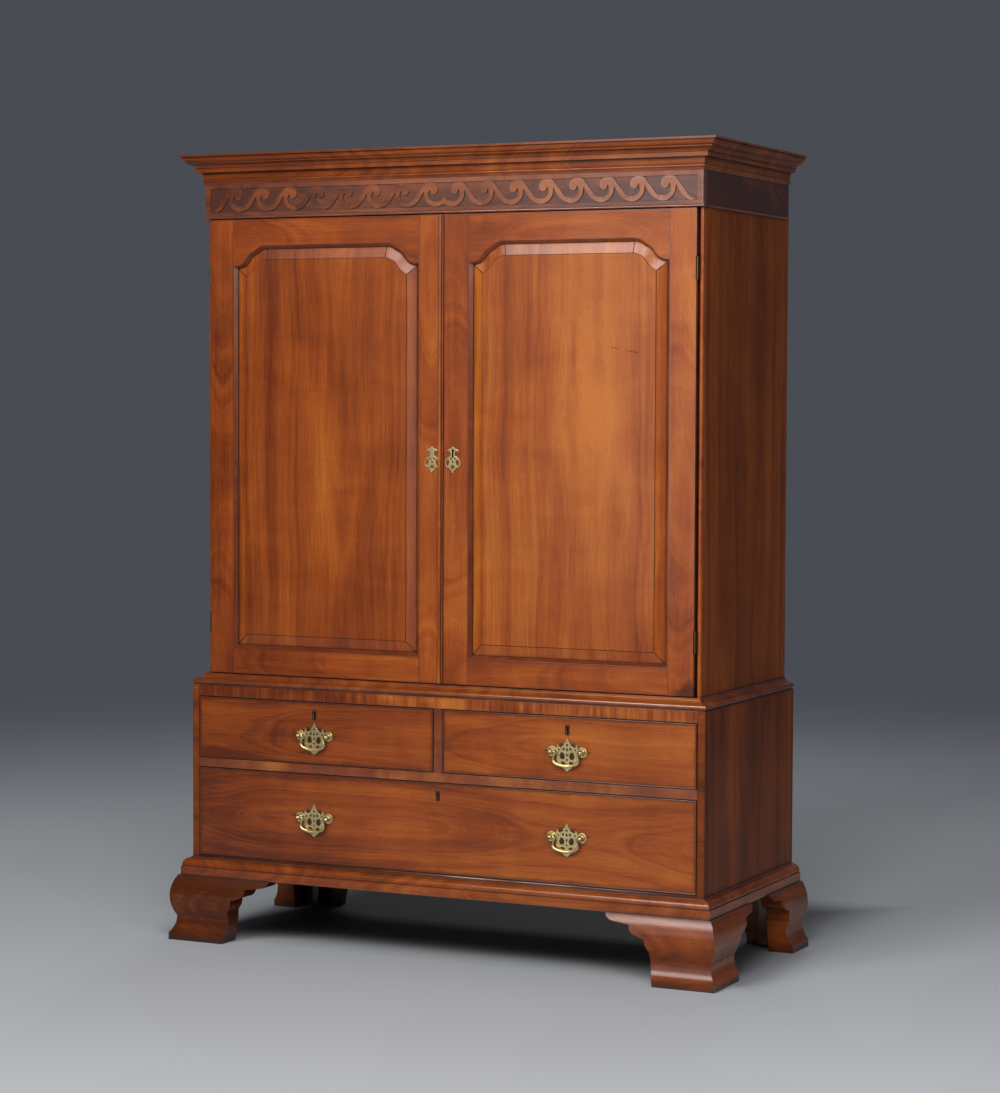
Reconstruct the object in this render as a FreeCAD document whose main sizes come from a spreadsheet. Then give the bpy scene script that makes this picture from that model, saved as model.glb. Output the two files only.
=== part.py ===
import FreeCAD, Part

import math
import os

import Sketcher
from FreeCAD import Rotation, Vector

# A mahogany linen press in two stages: a base with two short drawers over a long one, on ogee
# bracket feet, and above it a cupboard with two fielded doors, sliding trays, a carved frieze
# and a moulded cornice. Millimetres, +Z up, +X to the right, the front faces -Y. The origin is
# on the floor under the middle of the piece.

doc = FreeCAD.newDocument("linen_press")
sheet = doc.addObject("Spreadsheet::Sheet", "Size")

SIZES = [
    # the two carcases
    ("base_width", "1408"),
    ("base_depth", "607"),
    ("base_side", "19.5"),
    ("sill_height", "51.5"),
    ("long_opening", "227.5"),
    ("mid_rail", "23.5"),
    ("short_opening", "158.5"),
    ("top_rail", "28"),
    ("rail_depth", "55"),
    ("board", "18"),
    ("back_board", "14"),
    ("back_board_gap", "0.6"),
    ("upper_inset", "25"),
    ("upper_height", "1185"),
    ("upper_side", "20"),
    ("side_arris", "5"),
    ("divider", "24"),
    ("guide_height", "26"),
    ("dust_board", "8"),
    ("runner_width", "38"),
    ("kicker", "9.5"),
    # feet
    ("foot_height", "166"),
    ("foot_reach", "46"),
    ("foot_bracket", "241"),
    ("foot_pad", "18"),
    ("foot_waist_reach", "30"),
    ("foot_waist_height", "62"),
    ("foot_top_reach", "28"),
    ("foot_hollow_radius", "60"),
    ("foot_belly_radius", "98"),
    ("foot_block", "45"),
    ("foot_block_lift", "6"),
    ("back_bracket", "20"),
    # plinth moulding
    ("plinth_height", "46"),
    ("plinth_reach", "23"),
    ("plinth_fascia", "22"),
    ("plinth_quirk", "3"),
    ("plinth_top", "3"),
    ("plinth_ovolo_radius", "17"),
    # waist moulding
    ("waist_height", "29"),
    ("waist_quirk", "3"),
    ("waist_nose", "12"),
    ("waist_nose_radius", "7"),
    ("waist_fillet", "5"),
    ("waist_ledge", "3"),
    ("waist_hollow_radius", "19"),
    # frieze
    ("frieze_height", "87"),
    ("frieze_setback", "1"),
    ("frieze_board", "20"),
    ("frieze_bead", "6"),
    ("frieze_bead_reach", "3"),
    ("frieze_border_top", "12"),
    ("frieze_border_low", "9.5"),
    ("frieze_border_end", "15.5"),
    ("frieze_sink", "2.5"),
    ("scroll_first", "38.6"),
    ("scroll_end_gap", "2"),
    ("scroll_relief", "3"),
    # cornice, from the top down: a fillet, an ovolo, a fillet, a cove, a fascia, and under its
    # soffit a sloping bed with a bead at its foot
    ("cornice_height", "73"),
    ("cornice_reach", "48.5"),
    ("cornice_fillet", "5"),
    ("ovolo_top_reach", "43.5"),
    ("ovolo_foot_reach", "34"),
    ("ovolo_foot_drop", "19"),
    ("cornice_ovolo_radius", "14"),
    ("cove_top_drop", "21.5"),
    ("cove_foot_reach", "19.5"),
    ("cove_foot_drop", "32"),
    ("cornice_cove_radius", "17"),
    ("fascia_reach", "17"),
    ("fascia_foot_drop", "43"),
    ("bed_reach", "6"),
    ("bed_foot_reach", "3"),
    ("bed_foot_drop", "60.5"),
    ("bed_bead_reach", "3.2"),
    ("bed_bead_foot_drop", "67.5"),
    ("bed_bead_radius", "3.7"),
    ("cornice_board", "10"),
    ("cornice_board_sink", "8"),
    # doors
    ("door_setback", "24"),
    ("door_thickness", "22"),
    ("door_gap", "2.5"),
    ("door_meeting_gap", "2"),
    ("door_back_gap", "0.6"),
    ("stile", "67"),
    ("door_top_rail", "66"),
    ("door_low_rail", "64"),
    ("rebate_width", "9.5"),
    ("rebate_depth", "10"),
    ("panel_slab", "7"),
    ("panel_fit", "0.2"),
    ("panel_border", "37"),
    ("panel_bevel_drop", "9"),
    ("panel_bevel_rise", "5"),
    ("panel_field_rise", "1.2"),
    ("ovolo_width", "9.5"),
    ("ovolo_edge", "1.5"),
    ("ovolo_drop", "7"),
    ("meeting_bead", "9"),
    ("meeting_bead_reach", "6"),
    ("meeting_bead_inset", "4"),
    # shaped upper corners of the door openings and of the raised fields
    ("shoulder_start", "93"),
    ("shoulder_end", "62.5"),
    ("shoulder_drop", "12.5"),
    ("shoulder_radius", "44"),
    ("bump_end", "36"),
    ("bump_drop", "34"),
    ("bump_radius", "52"),
    ("hollow_drop", "50.5"),
    ("hollow_radius", "31.5"),
    ("field_shoulder_start", "60"),
    ("field_shoulder_end", "44"),
    ("field_shoulder_drop", "4.5"),
    ("field_shoulder_radius", "31"),
    ("field_bump_end", "26"),
    ("field_bump_drop", "20"),
    ("field_bump_radius", "30"),
    ("field_hollow_drop", "42.5"),
    ("field_hollow_radius", "72"),
    # applied beads beside the doors, hinges
    ("edge_bead", "10"),
    ("edge_bead_inset", "2.7"),
    ("edge_bead_gap", "2.8"),
    ("edge_bead_reach", "11"),
    ("hinge_length", "54"),
    ("hinge_below_top", "140.5"),
    ("hinge_above_foot", "128.5"),
    ("hinge_leaf", "1.6"),
    ("hinge_leaf_width", "14"),
    ("hinge_pin_radius", "1.5"),
    ("hinge_pin_fit", "0.05"),
    ("hinge_axis_depth", "3"),
    ("hinge_knuckle_gap", "0.3"),
    ("hinge_recess_fit", "0.1"),
    # drawers
    ("drawer_fit", "1.5"),
    ("drawer_front", "20"),
    ("drawer_back_space", "33"),
    ("drawer_side", "12"),
    ("drawer_side_fit", "1"),
    ("drawer_side_lift", "0.5"),
    ("drawer_side_drop", "6"),
    ("drawer_bottom", "8"),
    ("drawer_bottom_lift", "7"),
    ("drawer_back_drop", "12"),
    ("cockbead", "3"),
    ("cockbead_depth", "8"),
    ("cockbead_reach", "2"),
    # trays
    ("tray_front", "18"),
    ("tray_side", "12"),
    ("tray_height", "104"),
    ("tray_dip", "36"),
    ("tray_dip_run", "150"),
    ("tray_dip_slope", "60"),
    ("tray_dip_radius", "36"),
    ("tray_back_fit", "8"),
    ("tray_front_fit", "14"),
    ("tray_side_fit", "2"),
    ("tray_bottom", "9"),
    ("tray_bottom_lift", "6"),
    ("tray_runner", "18"),
    ("tray_first_lift", "24"),
    ("tray_pitch", "276"),
    # locks
    ("lock_width", "64"),
    ("lock_height", "44"),
    ("lock_depth", "10"),
    ("bolt_width", "18"),
    ("bolt_depth", "4"),
    ("bolt_length", "20"),
    ("bolt_fit", "0.3"),
    ("bolt_sink", "0.6"),
    ("bolt_throw", "9"),
    ("mortise_fit", "1"),
    ("keyhole_radius", "3.4"),
    ("keyhole_slot", "4.4"),
    ("keyhole_height", "20"),
    ("drawer_keyhole_drop", "36"),
    ("door_keyhole_rise", "576"),
    ("door_keyhole_inset", "26"),
    ("door_lock_width", "46"),
    ("door_lock_height", "78"),
    ("door_lock_fall", "47"),
    # brass handles and escutcheons
    ("short_handle_rise", "72.5"),
    ("long_handle_rise", "116.5"),
    ("post_spacing", "80"),
    ("post_reach", "11.5"),
    ("post_ball_radius", "7.5"),
    ("post_neck_radius", "4"),
    ("post_shank_radius", "3"),
    ("post_shank_fit", "0.2"),
    ("nut_radius", "7"),
    ("nut_thickness", "4"),
    ("plate_thickness", "1.6"),
    ("plate_half_width", "53"),
    ("plate_rise", "34.5"),
    ("plate_fall", "48.5"),
    ("roundel_radius", "13"),
    ("bail_pin_radius", "2"),
    ("bail_pin_fit", "0.06"),
    ("bail_pin_length", "4"),
    ("bail_ball_gap", "0.5"),
    ("bail_thickness", "5"),
    ("bail_arm", "4.2"),
    ("bail_drop", "39.5"),
    ("bail_bow", "3.5"),
    ("bail_middle", "8.5"),
    ("escutcheon_thickness", "1.5"),
    ("escutcheon_width", "44"),
    ("escutcheon_height", "68"),
    ("escutcheon_keyhole_rise", "21"),
]

for row, (alias, number) in enumerate(SIZES, start=1):
    sheet.set(f"A{row}", alias)
    sheet.set(f"B{row}", number)
    sheet.setAlias(f"B{row}", alias)
doc.recompute()

# Planes that several pieces share, as expressions of the sheet.
FRONT = "(Size.foot_reach - Size.base_depth) / 2"
BACK = "(Size.foot_reach + Size.base_depth) / 2"
BASE_HALF = "Size.base_width / 2"
BASE_INNER = f"({BASE_HALF} - Size.base_side)"
BASE_LOW = "Size.foot_height"
SILL = "(Size.foot_height + Size.sill_height)"
LONG_TOP = f"({SILL} + Size.long_opening)"
SHORT_LOW = f"({LONG_TOP} + Size.mid_rail)"
SHORT_TOP = f"({SHORT_LOW} + Size.short_opening)"
BASE_TOP = f"({SHORT_TOP} + Size.top_rail)"
BASE_BACK = f"({BACK} - Size.back_board)"
UPPER_HALF = f"({BASE_HALF} - Size.upper_inset)"
UPPER_INNER = f"({UPPER_HALF} - Size.upper_side)"
UPPER_FLOOR = f"({BASE_TOP} + Size.waist_height)"
UPPER_TOP = f"({BASE_TOP} + Size.upper_height)"
DOOR_FACE = f"({FRONT} + Size.door_setback)"
DOOR_BACK = f"({DOOR_FACE} + Size.door_thickness)"
UPPER_FRONT = f"({DOOR_BACK} + Size.door_back_gap)"
FRIEZE_FACE = f"({DOOR_FACE} + Size.frieze_setback)"
FRIEZE_TOP = f"({UPPER_TOP} + Size.frieze_height)"
TOTAL = f"({FRIEZE_TOP} + Size.cornice_height)"
DOOR_LOW = f"({UPPER_FLOOR} + Size.door_gap)"
DOOR_TOP = f"({UPPER_TOP} - Size.door_gap)"
BEAD_OUT = f"({UPPER_HALF} - Size.edge_bead_inset)"
BEAD_IN = f"({BEAD_OUT} - Size.edge_bead)"
DOOR_HALF = f"({BEAD_IN} - Size.edge_bead_gap)"
DOOR_KEYHOLE = f"({UPPER_FLOOR} + Size.door_keyhole_rise)"
DIVIDER_HALF = "(Size.divider / 2)"
HANDLE_X = f"(({DIVIDER_HALF} + {BASE_INNER}) / 2)"
SHORT_HANDLE = f"({SHORT_LOW} + Size.short_handle_rise)"
LONG_HANDLE = f"({SILL} + Size.long_handle_rise)"

# Waste is cut this far past a face, which changes nothing on the piece.
PAST = "1"
# The radius of a nose, as a share of its width: a shade flatter than a half round.
NOSE = "0.52"
# Small round brass work, which is repeated, is drawn with this many sides.
SMALL_SIDES = 12

PLANES = {"front": "XZ_Plane", "side": "YZ_Plane", "plan": "XY_Plane"}
nodes = []


def value(expression):
    """The number that an expression of the sheet stands for."""
    return float(sheet.evalExpression(str(expression)))


def node(label, *pieces):
    """Name one piece, or a group of separate solids, as a node of the finished work."""
    whole = pieces[0]
    if len(pieces) > 1:
        whole = doc.addObject("Part::Compound", label)
        whole.Links = list(pieces)
    whole.Label = label
    nodes.append(whole)


def board(name, x, y, z):
    """A board between three pairs of planes."""
    piece = doc.addObject("Part::Box", name)
    for size, axis, (low, high) in zip(("Length", "Width", "Height"), "xyz", (x, y, z)):
        piece.setExpression(size, f"({high}) - ({low})")
        piece.setExpression(f"Placement.Base.{axis}", f"{low}")
    return piece


def rod(name, radius, x, y, z, length):
    """A round bar along +X from the point x, y, z."""
    piece = doc.addObject("Part::Cylinder", name)
    piece.setExpression("Radius", radius)
    piece.setExpression("Height", length)
    piece.Placement = FreeCAD.Placement(Vector(), Rotation(Vector(0, 1, 0), 90))
    for coordinate, place in zip("xyz", (x, y, z)):
        piece.setExpression(f"Placement.Base.{coordinate}", f"{place}")
    return piece


def cut(name, base, tool):
    """A piece less another."""
    piece = doc.addObject("Part::Cut", name)
    piece.Base = base
    piece.Tool = tool
    return piece


def mirror(name, source):
    """The same piece on the other side of the middle."""
    piece = doc.addObject("Part::Mirroring", name)
    piece.Source = source
    piece.Normal = Vector(1, 0, 0)
    return piece


def rectangle(low_u, high_u, low_v, high_v):
    """The four corners of a rectangle, in order."""
    return [(low_u, low_v), (high_u, low_v), (high_u, high_v), (low_u, high_v)]


def facets(u, v, radius):
    """The corners of a small many-sided round, the first on its right."""
    corners = []
    for corner in range(SMALL_SIDES):
        angle = 2 * math.pi * corner / SMALL_SIDES
        corners.append((
            f"{u} + {radius} * {math.cos(angle):.4f}",
            f"{v} + {radius} * {math.sin(angle):.4f}",
        ))
    return corners


def flipped(corners):
    """An outline mirrored in its own vertical axis, arcs and all."""
    turned = []
    for across, up, *radius in corners:
        turned.append((f"-({across})", up, *[f"-({r})" for r in radius]))
    return turned


def both_sides(half):
    """A closed outline from its right half, whose first and last corners are on the middle."""
    spots = [tuple(corner[:2]) for corner in half]
    radii = [tuple(corner[2:]) for corner in half]
    left = [
        (f"-({spots[i][0]})", spots[i][1]) + radii[i - 1] for i in range(len(half) - 2, 0, -1)
    ]
    return list(half[:-1]) + [spots[-1] + radii[-2]] + left


def minor_arc(start, end, radius):
    """The shorter arc between two points, and whether it runs clockwise.

    A positive radius has its centre on the left of the way from start to end.
    """
    chord = end - start
    left = Vector(-chord.y, chord.x, 0)
    left.normalize()
    reach = math.sqrt(max(radius ** 2 - (chord.Length / 2) ** 2, 0.0))
    side = 1 if radius > 0 else -1
    centre = (start + end) * 0.5 + left * (reach * side)
    first, last = (start, end) if side > 0 else (end, start)
    first_angle = math.atan2(first.y - centre.y, first.x - centre.x)
    last_angle = math.atan2(last.y - centre.y, last.x - centre.x)
    if last_angle < first_angle:
        last_angle += 2 * math.pi
    circle = Part.Circle(centre, Vector(0, 0, 1), abs(radius))
    return Part.ArcOfCircle(circle, first_angle, last_angle), side < 0


def draw_loop(sketch, corners):
    """Draw a closed outline whose corners and radii are held by expressions."""
    spots = [Vector(value(corner[0]), value(corner[1]), 0) for corner in corners]
    first = sketch.GeometryCount
    ends = []
    rules = []
    formulas = []
    for index, corner in enumerate(corners):
        start, end = spots[index], spots[(index + 1) % len(corners)]
        if len(corner) == 3:
            arc, clockwise = minor_arc(start, end, value(corner[2]))
            sketch.addGeometry(arc)
            ends.append((2, 1) if clockwise else (1, 2))
            rules.append(Sketcher.Constraint("Radius", first + index, arc.Radius))
            formulas.append(f"abs({corner[2]})")
        else:
            sketch.addGeometry(Part.LineSegment(start, end))
            ends.append((1, 2))
        for rule, coordinate, expression in zip(("DistanceX", "DistanceY"), start, corner[:2]):
            rules.append(Sketcher.Constraint(rule, first + index, ends[index][0], coordinate))
            formulas.append(expression)
    for index in range(len(corners)):
        after = (index + 1) % len(corners)
        joined = Sketcher.Constraint(
            "Coincident", first + index, ends[index][1], first + after, ends[after][0]
        )
        sketch.addConstraint(joined)
    for rule, formula in zip(rules, formulas):
        number = sketch.addConstraint(rule)
        sketch.setExpression(f"Constraints[{number}]", f"{formula}")


def draw_circle(sketch, x, y, radius):
    """Draw a circle held by expressions."""
    circle = Part.Circle(Vector(value(x), value(y), 0), Vector(0, 0, 1), value(radius))
    index = sketch.addGeometry(circle)
    for rule, expression in (("DistanceX", x), ("DistanceY", y)):
        number = sketch.addConstraint(Sketcher.Constraint(rule, index, 3, value(expression)))
        sketch.setExpression(f"Constraints[{number}]", f"{expression}")
    number = sketch.addConstraint(Sketcher.Constraint("Radius", index, value(radius)))
    sketch.setExpression(f"Constraints[{number}]", f"{radius}")


class Worked:
    """One solid worked from sketches, each padded or cut between two levels of its plane."""

    def __init__(self, name):
        self.body = doc.addObject("PartDesign::Body", name)
        self.name = name
        self.steps = 0

    def sketch(self, plane, loops, level):
        """Draw loops on a plane moved to a level; a front plane's own normal points to -Y."""
        self.steps += 1
        name = f"{self.name}_sketch_{self.steps}"
        sketch = self.body.newObject("Sketcher::SketchObject", name)
        origin = [f for f in self.body.Origin.OriginFeatures if f.Role == PLANES[plane]][0]
        sketch.AttachmentSupport = [(origin, "")]
        sketch.MapMode = "FlatFace"
        offset = f"-({level})" if plane == "front" else f"{level}"
        sketch.setExpression("AttachmentOffset.Base.z", offset)
        for loop in loops:
            if loop[0] == "circle":
                draw_circle(sketch, *loop[1:])
            else:
                draw_loop(sketch, loop)
        return sketch

    def extrude(self, kind, plane, loops, level, length):
        """Add one pad or pocket."""
        profile = self.sketch(plane, loops, level)
        name = f"{self.name}_{kind.lower()}_{self.steps}"
        feature = self.body.newObject(f"PartDesign::{kind}", name)
        feature.Profile = profile
        feature.setExpression("Length", length)
        return self

    def pad(self, plane, loops, low, high):
        """Fill the loops between two levels."""
        level = high if plane == "front" else low
        return self.extrude("Pad", plane, loops, level, f"({high}) - ({low})")

    def pocket(self, plane, loops, low, high):
        """Clear the loops between two levels."""
        level = low if plane == "front" else high
        return self.extrude("Pocket", plane, loops, level, f"({high}) - ({low})")

    def loft(self, kind, plane, first, first_level, second, second_level):
        """Add or take away a straight taper from one outline to another."""
        profile = self.sketch(plane, [first], first_level)
        section = self.sketch(plane, [second], second_level)
        name = f"{self.name}_{kind.lower()}_{self.steps}"
        feature = self.body.newObject(f"PartDesign::{kind}", name)
        feature.Profile = profile
        feature.Sections = [section]
        feature.Ruled = True
        return self


def moulding(name, half, front, back, reach, section, inner="0"):
    """A moulding across the front and back along both sides, mitred at the two front corners.

    section lists corners as (reach out from the face, height, radius) from the lower inner
    corner round to the upper one; a positive radius swells outwards. inner is how much further
    the front length goes in behind its face than the section does.
    """
    def inside_out(corner):
        return (f"({front}) - ({corner[0]})", corner[1]) + tuple(f"-({r})" for r in corner[2:])

    deep = [inside_out(corner) for corner in section]
    if inner != "0":
        deep[0] = (f"({front}) + ({inner})", section[0][1])
        deep[-1] = (f"({front}) + ({inner})", section[-1][1])
    low = f"({section[0][1]}) - {PAST}"
    high = f"({section[-1][1]}) + {PAST}"
    over = f"(({reach}) + {PAST})"
    beyond = f"({half}) + {over} + {PAST}"
    across = Worked(f"{name}_front")
    across.pad("side", [deep], f"-({half}) - {over}", f"({half}) + {over}")
    waste = [
        (f"({half})", front),
        (beyond, f"({front}) - {over} - {PAST}"),
        (beyond, f"({front}) + ({inner}) + {PAST}"),
        (f"({half})", f"({front}) + ({inner}) + {PAST}"),
    ]
    across.pocket("plan", [waste], low, high)
    across.pocket("plan", [flipped(waste)], low, high)
    wide = [(f"({half}) + ({corner[0]})",) + tuple(corner[1:]) for corner in section]
    along = Worked(f"{name}_right")
    along.pad("front", [wide], f"({front}) - {over}", back)
    waste = [
        (f"({half}) - {PAST}", f"({front}) + {PAST}"),
        (beyond, f"({front}) - {over} - {PAST}"),
        (f"({half}) - {PAST}", f"({front}) - {over} - {PAST}"),
    ]
    along.pocket("plan", [waste], low, high)
    return across.body, along.body, mirror(f"{name}_left", along.body)


def keyhole(x, z):
    """The outline of a keyhole with its round head centred on x, z."""
    slot = "Size.keyhole_slot / 2"
    neck = f"({z}) - sqrt(Size.keyhole_radius * Size.keyhole_radius - {slot} * {slot})"
    foot = f"({z}) + Size.keyhole_radius - Size.keyhole_height"
    return [
        (f"({x}) - {slot}", foot),
        (f"({x}) + {slot}", foot),
        (f"({x}) + {slot}", neck, "Size.keyhole_radius"),
        (x, f"({z}) + Size.keyhole_radius", "Size.keyhole_radius"),
        (f"({x}) - {slot}", neck),
    ]


# The base carcase: two sides, boards between them, three front rails and the back boards.

base_right = board(
    "base_side_right", (BASE_INNER, BASE_HALF), (FRONT, BACK), (BASE_LOW, BASE_TOP)
)
node("base_sides", base_right, mirror("base_side_left", base_right))

WITHIN_BASE = (f"-{BASE_INNER}", BASE_INNER)
RAIL_BACK = f"({FRONT} + Size.rail_depth)"

node("base_top_board", board(
    "base_top", WITHIN_BASE, (RAIL_BACK, BASE_BACK), (f"{BASE_TOP} - Size.board", BASE_TOP)
))
node("base_bottom_board", board(
    "base_bottom", WITHIN_BASE, (FRONT, BASE_BACK), (f"{SILL} - Size.board", SILL)
))
node("base_dust_board", board(
    "base_dust",
    WITHIN_BASE,
    (RAIL_BACK, BASE_BACK),
    (f"{LONG_TOP} + Size.kicker", f"{LONG_TOP} + Size.kicker + Size.dust_board"),
))

LOCK_Y = f"({FRONT} + Size.drawer_front - Size.lock_depth / 2)"


def mortise(x):
    """The plan of a bolt's mortise in the rail above a drawer."""
    half_width = "(Size.bolt_width / 2 + Size.mortise_fit)"
    half_depth = "(Size.bolt_depth / 2 + Size.mortise_fit)"
    return rectangle(
        f"({x}) - {half_width}",
        f"({x}) + {half_width}",
        f"{LOCK_Y} - {half_depth}",
        f"{LOCK_Y} + {half_depth}",
    )


def rail(name, low, high, bolts):
    """A front rail with a mortise in its underside over each lock."""
    piece = Worked(name)
    piece.pad("plan", [rectangle(*WITHIN_BASE, FRONT, RAIL_BACK)], low, high)
    for x in bolts:
        piece.pocket("plan", [mortise(x)], f"{low} - {PAST}", f"{low} + Size.bolt_throw")
    return piece.body


node(
    "base_front_rails",
    rail("base_top_rail", SHORT_TOP, BASE_TOP, [HANDLE_X, f"-{HANDLE_X}"]),
    rail("base_mid_rail", LONG_TOP, SHORT_LOW, ["0"]),
    board(
        "base_plinth_rail",
        WITHIN_BASE,
        (FRONT, f"{FRONT} + Size.board"),
        (BASE_LOW, f"{SILL} - Size.board"),
    ),
)

ACROSS_DIVIDER = (f"-{DIVIDER_HALF}", DIVIDER_HALF)
node(
    "drawer_divider",
    board("divider_front", ACROSS_DIVIDER, (FRONT, RAIL_BACK), (SHORT_LOW, SHORT_TOP)),
    board(
        "divider_guide",
        ACROSS_DIVIDER,
        (RAIL_BACK, BASE_BACK),
        (SHORT_LOW, f"{SHORT_LOW} + Size.guide_height"),
    ),
)


def runner_set(name, low, high):
    """Strips along both sides and the middle of the base, under or over the drawer sides."""
    depth = (RAIL_BACK, BASE_BACK)
    width = (f"{BASE_INNER} - Size.runner_width", BASE_INNER)
    side = board(f"{name}_right", width, depth, (low, high))
    return [side, mirror(f"{name}_left", side)]


SHORT_KICKER = (SHORT_TOP, f"{BASE_TOP} - Size.board")
MIDDLE = ("-Size.runner_width", "Size.runner_width")
SHORT_RUNNER_LOW = f"({LONG_TOP} + Size.kicker + Size.dust_board)"
node(
    "drawer_runners",
    *runner_set("short_runner", SHORT_RUNNER_LOW, SHORT_LOW),
    board("short_runner_middle", MIDDLE, (RAIL_BACK, BASE_BACK), (SHORT_RUNNER_LOW, SHORT_LOW)),
    *runner_set("short_kicker", *SHORT_KICKER),
    board("short_kicker_middle", MIDDLE, (RAIL_BACK, BASE_BACK), SHORT_KICKER),
    *runner_set("long_kicker", LONG_TOP, f"({LONG_TOP} + Size.kicker)"),
)


def back_boards(name, half, low, high, count):
    """Upright boards across the back of a carcase, a hair apart."""
    pitch = f"(2 * {half} / {count})"
    boards = []
    for index in range(count):
        left = f"(-{half} + {pitch} * {index})"
        right = f"({left} + {pitch})"
        if index < count - 1:
            right = f"({right} - Size.back_board_gap)"
        boards.append(board(f"{name}_{index + 1}", (left, right), (BASE_BACK, BACK), (low, high)))
    return boards


node("base_back_boards", *back_boards("base_back", BASE_INNER, BASE_LOW, BASE_TOP, 5))

# The plinth moulding, planted round the foot of the base carcase.

PLINTH_TOP = f"({BASE_LOW} + Size.plinth_height)"
plinth_section = [
    ("0", BASE_LOW),
    ("Size.plinth_reach", BASE_LOW),
    ("Size.plinth_reach", f"{BASE_LOW} + Size.plinth_fascia"),
    (
        "Size.plinth_reach - Size.plinth_quirk",
        f"{BASE_LOW} + Size.plinth_fascia",
        "Size.plinth_ovolo_radius",
    ),
    ("Size.plinth_top", f"{PLINTH_TOP} - Size.plinth_top"),
    ("Size.plinth_top", PLINTH_TOP),
    ("0", PLINTH_TOP),
]
node("plinth_moulding", *moulding(
    "plinth", BASE_HALF, FRONT, BACK, "Size.plinth_reach", plinth_section
))

# Ogee bracket feet. Each has a bracket along the side; the front ones have a second bracket
# mitred to it, the back ones a plain board. A glue block stands behind each corner.


def ogee(face, outwards):
    """The section of a foot: a pad, a hollow above it and a belly under the moulding."""
    def out(reach):
        return f"({face}) + {outwards} * ({reach})"

    turn = "" if outwards > 0 else "-"
    return [
        (out("-Size.base_side"), "0"),
        (out("Size.foot_reach"), "0"),
        (out("Size.foot_reach"), "Size.foot_pad", f"{turn}(-Size.foot_hollow_radius)"),
        (
            out("Size.foot_waist_reach"),
            "Size.foot_waist_height",
            f"{turn}(Size.foot_belly_radius)",
        ),
        (out("Size.foot_top_reach"), "Size.foot_height"),
        (out("-Size.base_side"), "Size.foot_height"),
    ]


# The scrolled lower edge of a bracket: shares of its length in from the carcase corner and of
# its height, with the radius of each curve as a share of the height.
SCROLL = [
    (1.00, 1.00, 0.16),
    (0.93, 0.90, 0.0),
    (0.73, 0.86, 0.14),
    (0.665, 0.72, 0.0),
    (0.56, 0.67, 0.22),
    (0.515, 0.50, 0.0),
    (0.507, 0.28, 0.0),
    (0.479, 0.11, 0.0),
    (0.47, 0.00, 0.0),
]


def scroll(corner, inwards, length):
    """The waste inside a bracket's scrolled edge."""
    outline = []
    turn = "" if inwards < 0 else "-"
    for share, rise, radius in SCROLL:
        spot = (f"({corner}) + {inwards} * ({length}) * {share}", f"Size.foot_height * {rise}")
        if radius:
            spot += (f"{turn}(Size.foot_height * {radius})",)
        outline.append(spot)
    beyond = f"({corner}) + {inwards} * (({length}) + {PAST})"
    outline.append((f"({corner}) + {inwards} * ({length}) * {SCROLL[-1][0]}", f"-{PAST}"))
    outline.append((beyond, f"-{PAST}"))
    outline.append((beyond, "Size.foot_height"))
    return outline


LENGTH = "Size.foot_bracket"
OVER = f"(Size.foot_reach + {PAST})"
across = Worked("foot_front_bracket")
across.pad("side", [ogee(FRONT, -1)], f"{BASE_HALF} - {LENGTH}", f"{BASE_HALF} + {OVER}")
across.pocket("front", [scroll(BASE_HALF, -1, LENGTH)], f"{FRONT} - {OVER}", f"{FRONT} + {OVER}")
across.pocket("plan", [[
    (f"{BASE_HALF} - {OVER}", f"{FRONT} + {OVER}"),
    (f"{BASE_HALF} + {OVER} + {PAST}", f"{FRONT} - {OVER} - {PAST}"),
    (f"{BASE_HALF} + {OVER} + {PAST}", f"{FRONT} + {OVER}"),
]], f"-{PAST}", f"Size.foot_height + {PAST}")
along = Worked("foot_front_side_bracket")
along.pad("front", [ogee(BASE_HALF, 1)], f"{FRONT} - {OVER}", f"{FRONT} + {LENGTH}")
along.pocket("side", [scroll(FRONT, 1, LENGTH)], f"{BASE_HALF} - {OVER}", f"{BASE_HALF} + {OVER}")
along.pocket("plan", [[
    (f"{BASE_HALF} - {OVER}", f"{FRONT} + {OVER}"),
    (f"{BASE_HALF} + {OVER} + {PAST}", f"{FRONT} - {OVER} - {PAST}"),
    (f"{BASE_HALF} - {OVER}", f"{FRONT} - {OVER} - {PAST}"),
]], f"-{PAST}", f"Size.foot_height + {PAST}")
rear = Worked("foot_back_side_bracket")
rear.pad("front", [ogee(BASE_HALF, 1)], f"{BACK} - {LENGTH}", BACK)
rear.pocket("side", [scroll(BACK, -1, LENGTH)], f"{BASE_HALF} - {OVER}", f"{BASE_HALF} + {OVER}")
plain = Worked("foot_back_bracket")
PLAIN_Y = (f"{BACK} - Size.back_bracket", BACK)
plain.pad("front", [rectangle(f"{BASE_HALF} - {LENGTH}", BASE_INNER, "0", BASE_LOW)], *PLAIN_Y)
plain.pocket(
    "front",
    [scroll(BASE_HALF, -1, LENGTH)],
    f"{PLAIN_Y[0]} - {PAST}",
    f"{PLAIN_Y[1]} + {PAST}",
)


def foot_block(name, y):
    """The upright block glued inside a foot's corner, up to the bottom board."""
    x = (f"{BASE_INNER} - Size.foot_block", BASE_INNER)
    return board(name, x, y, ("Size.foot_block_lift", f"{SILL} - Size.board"))


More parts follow.
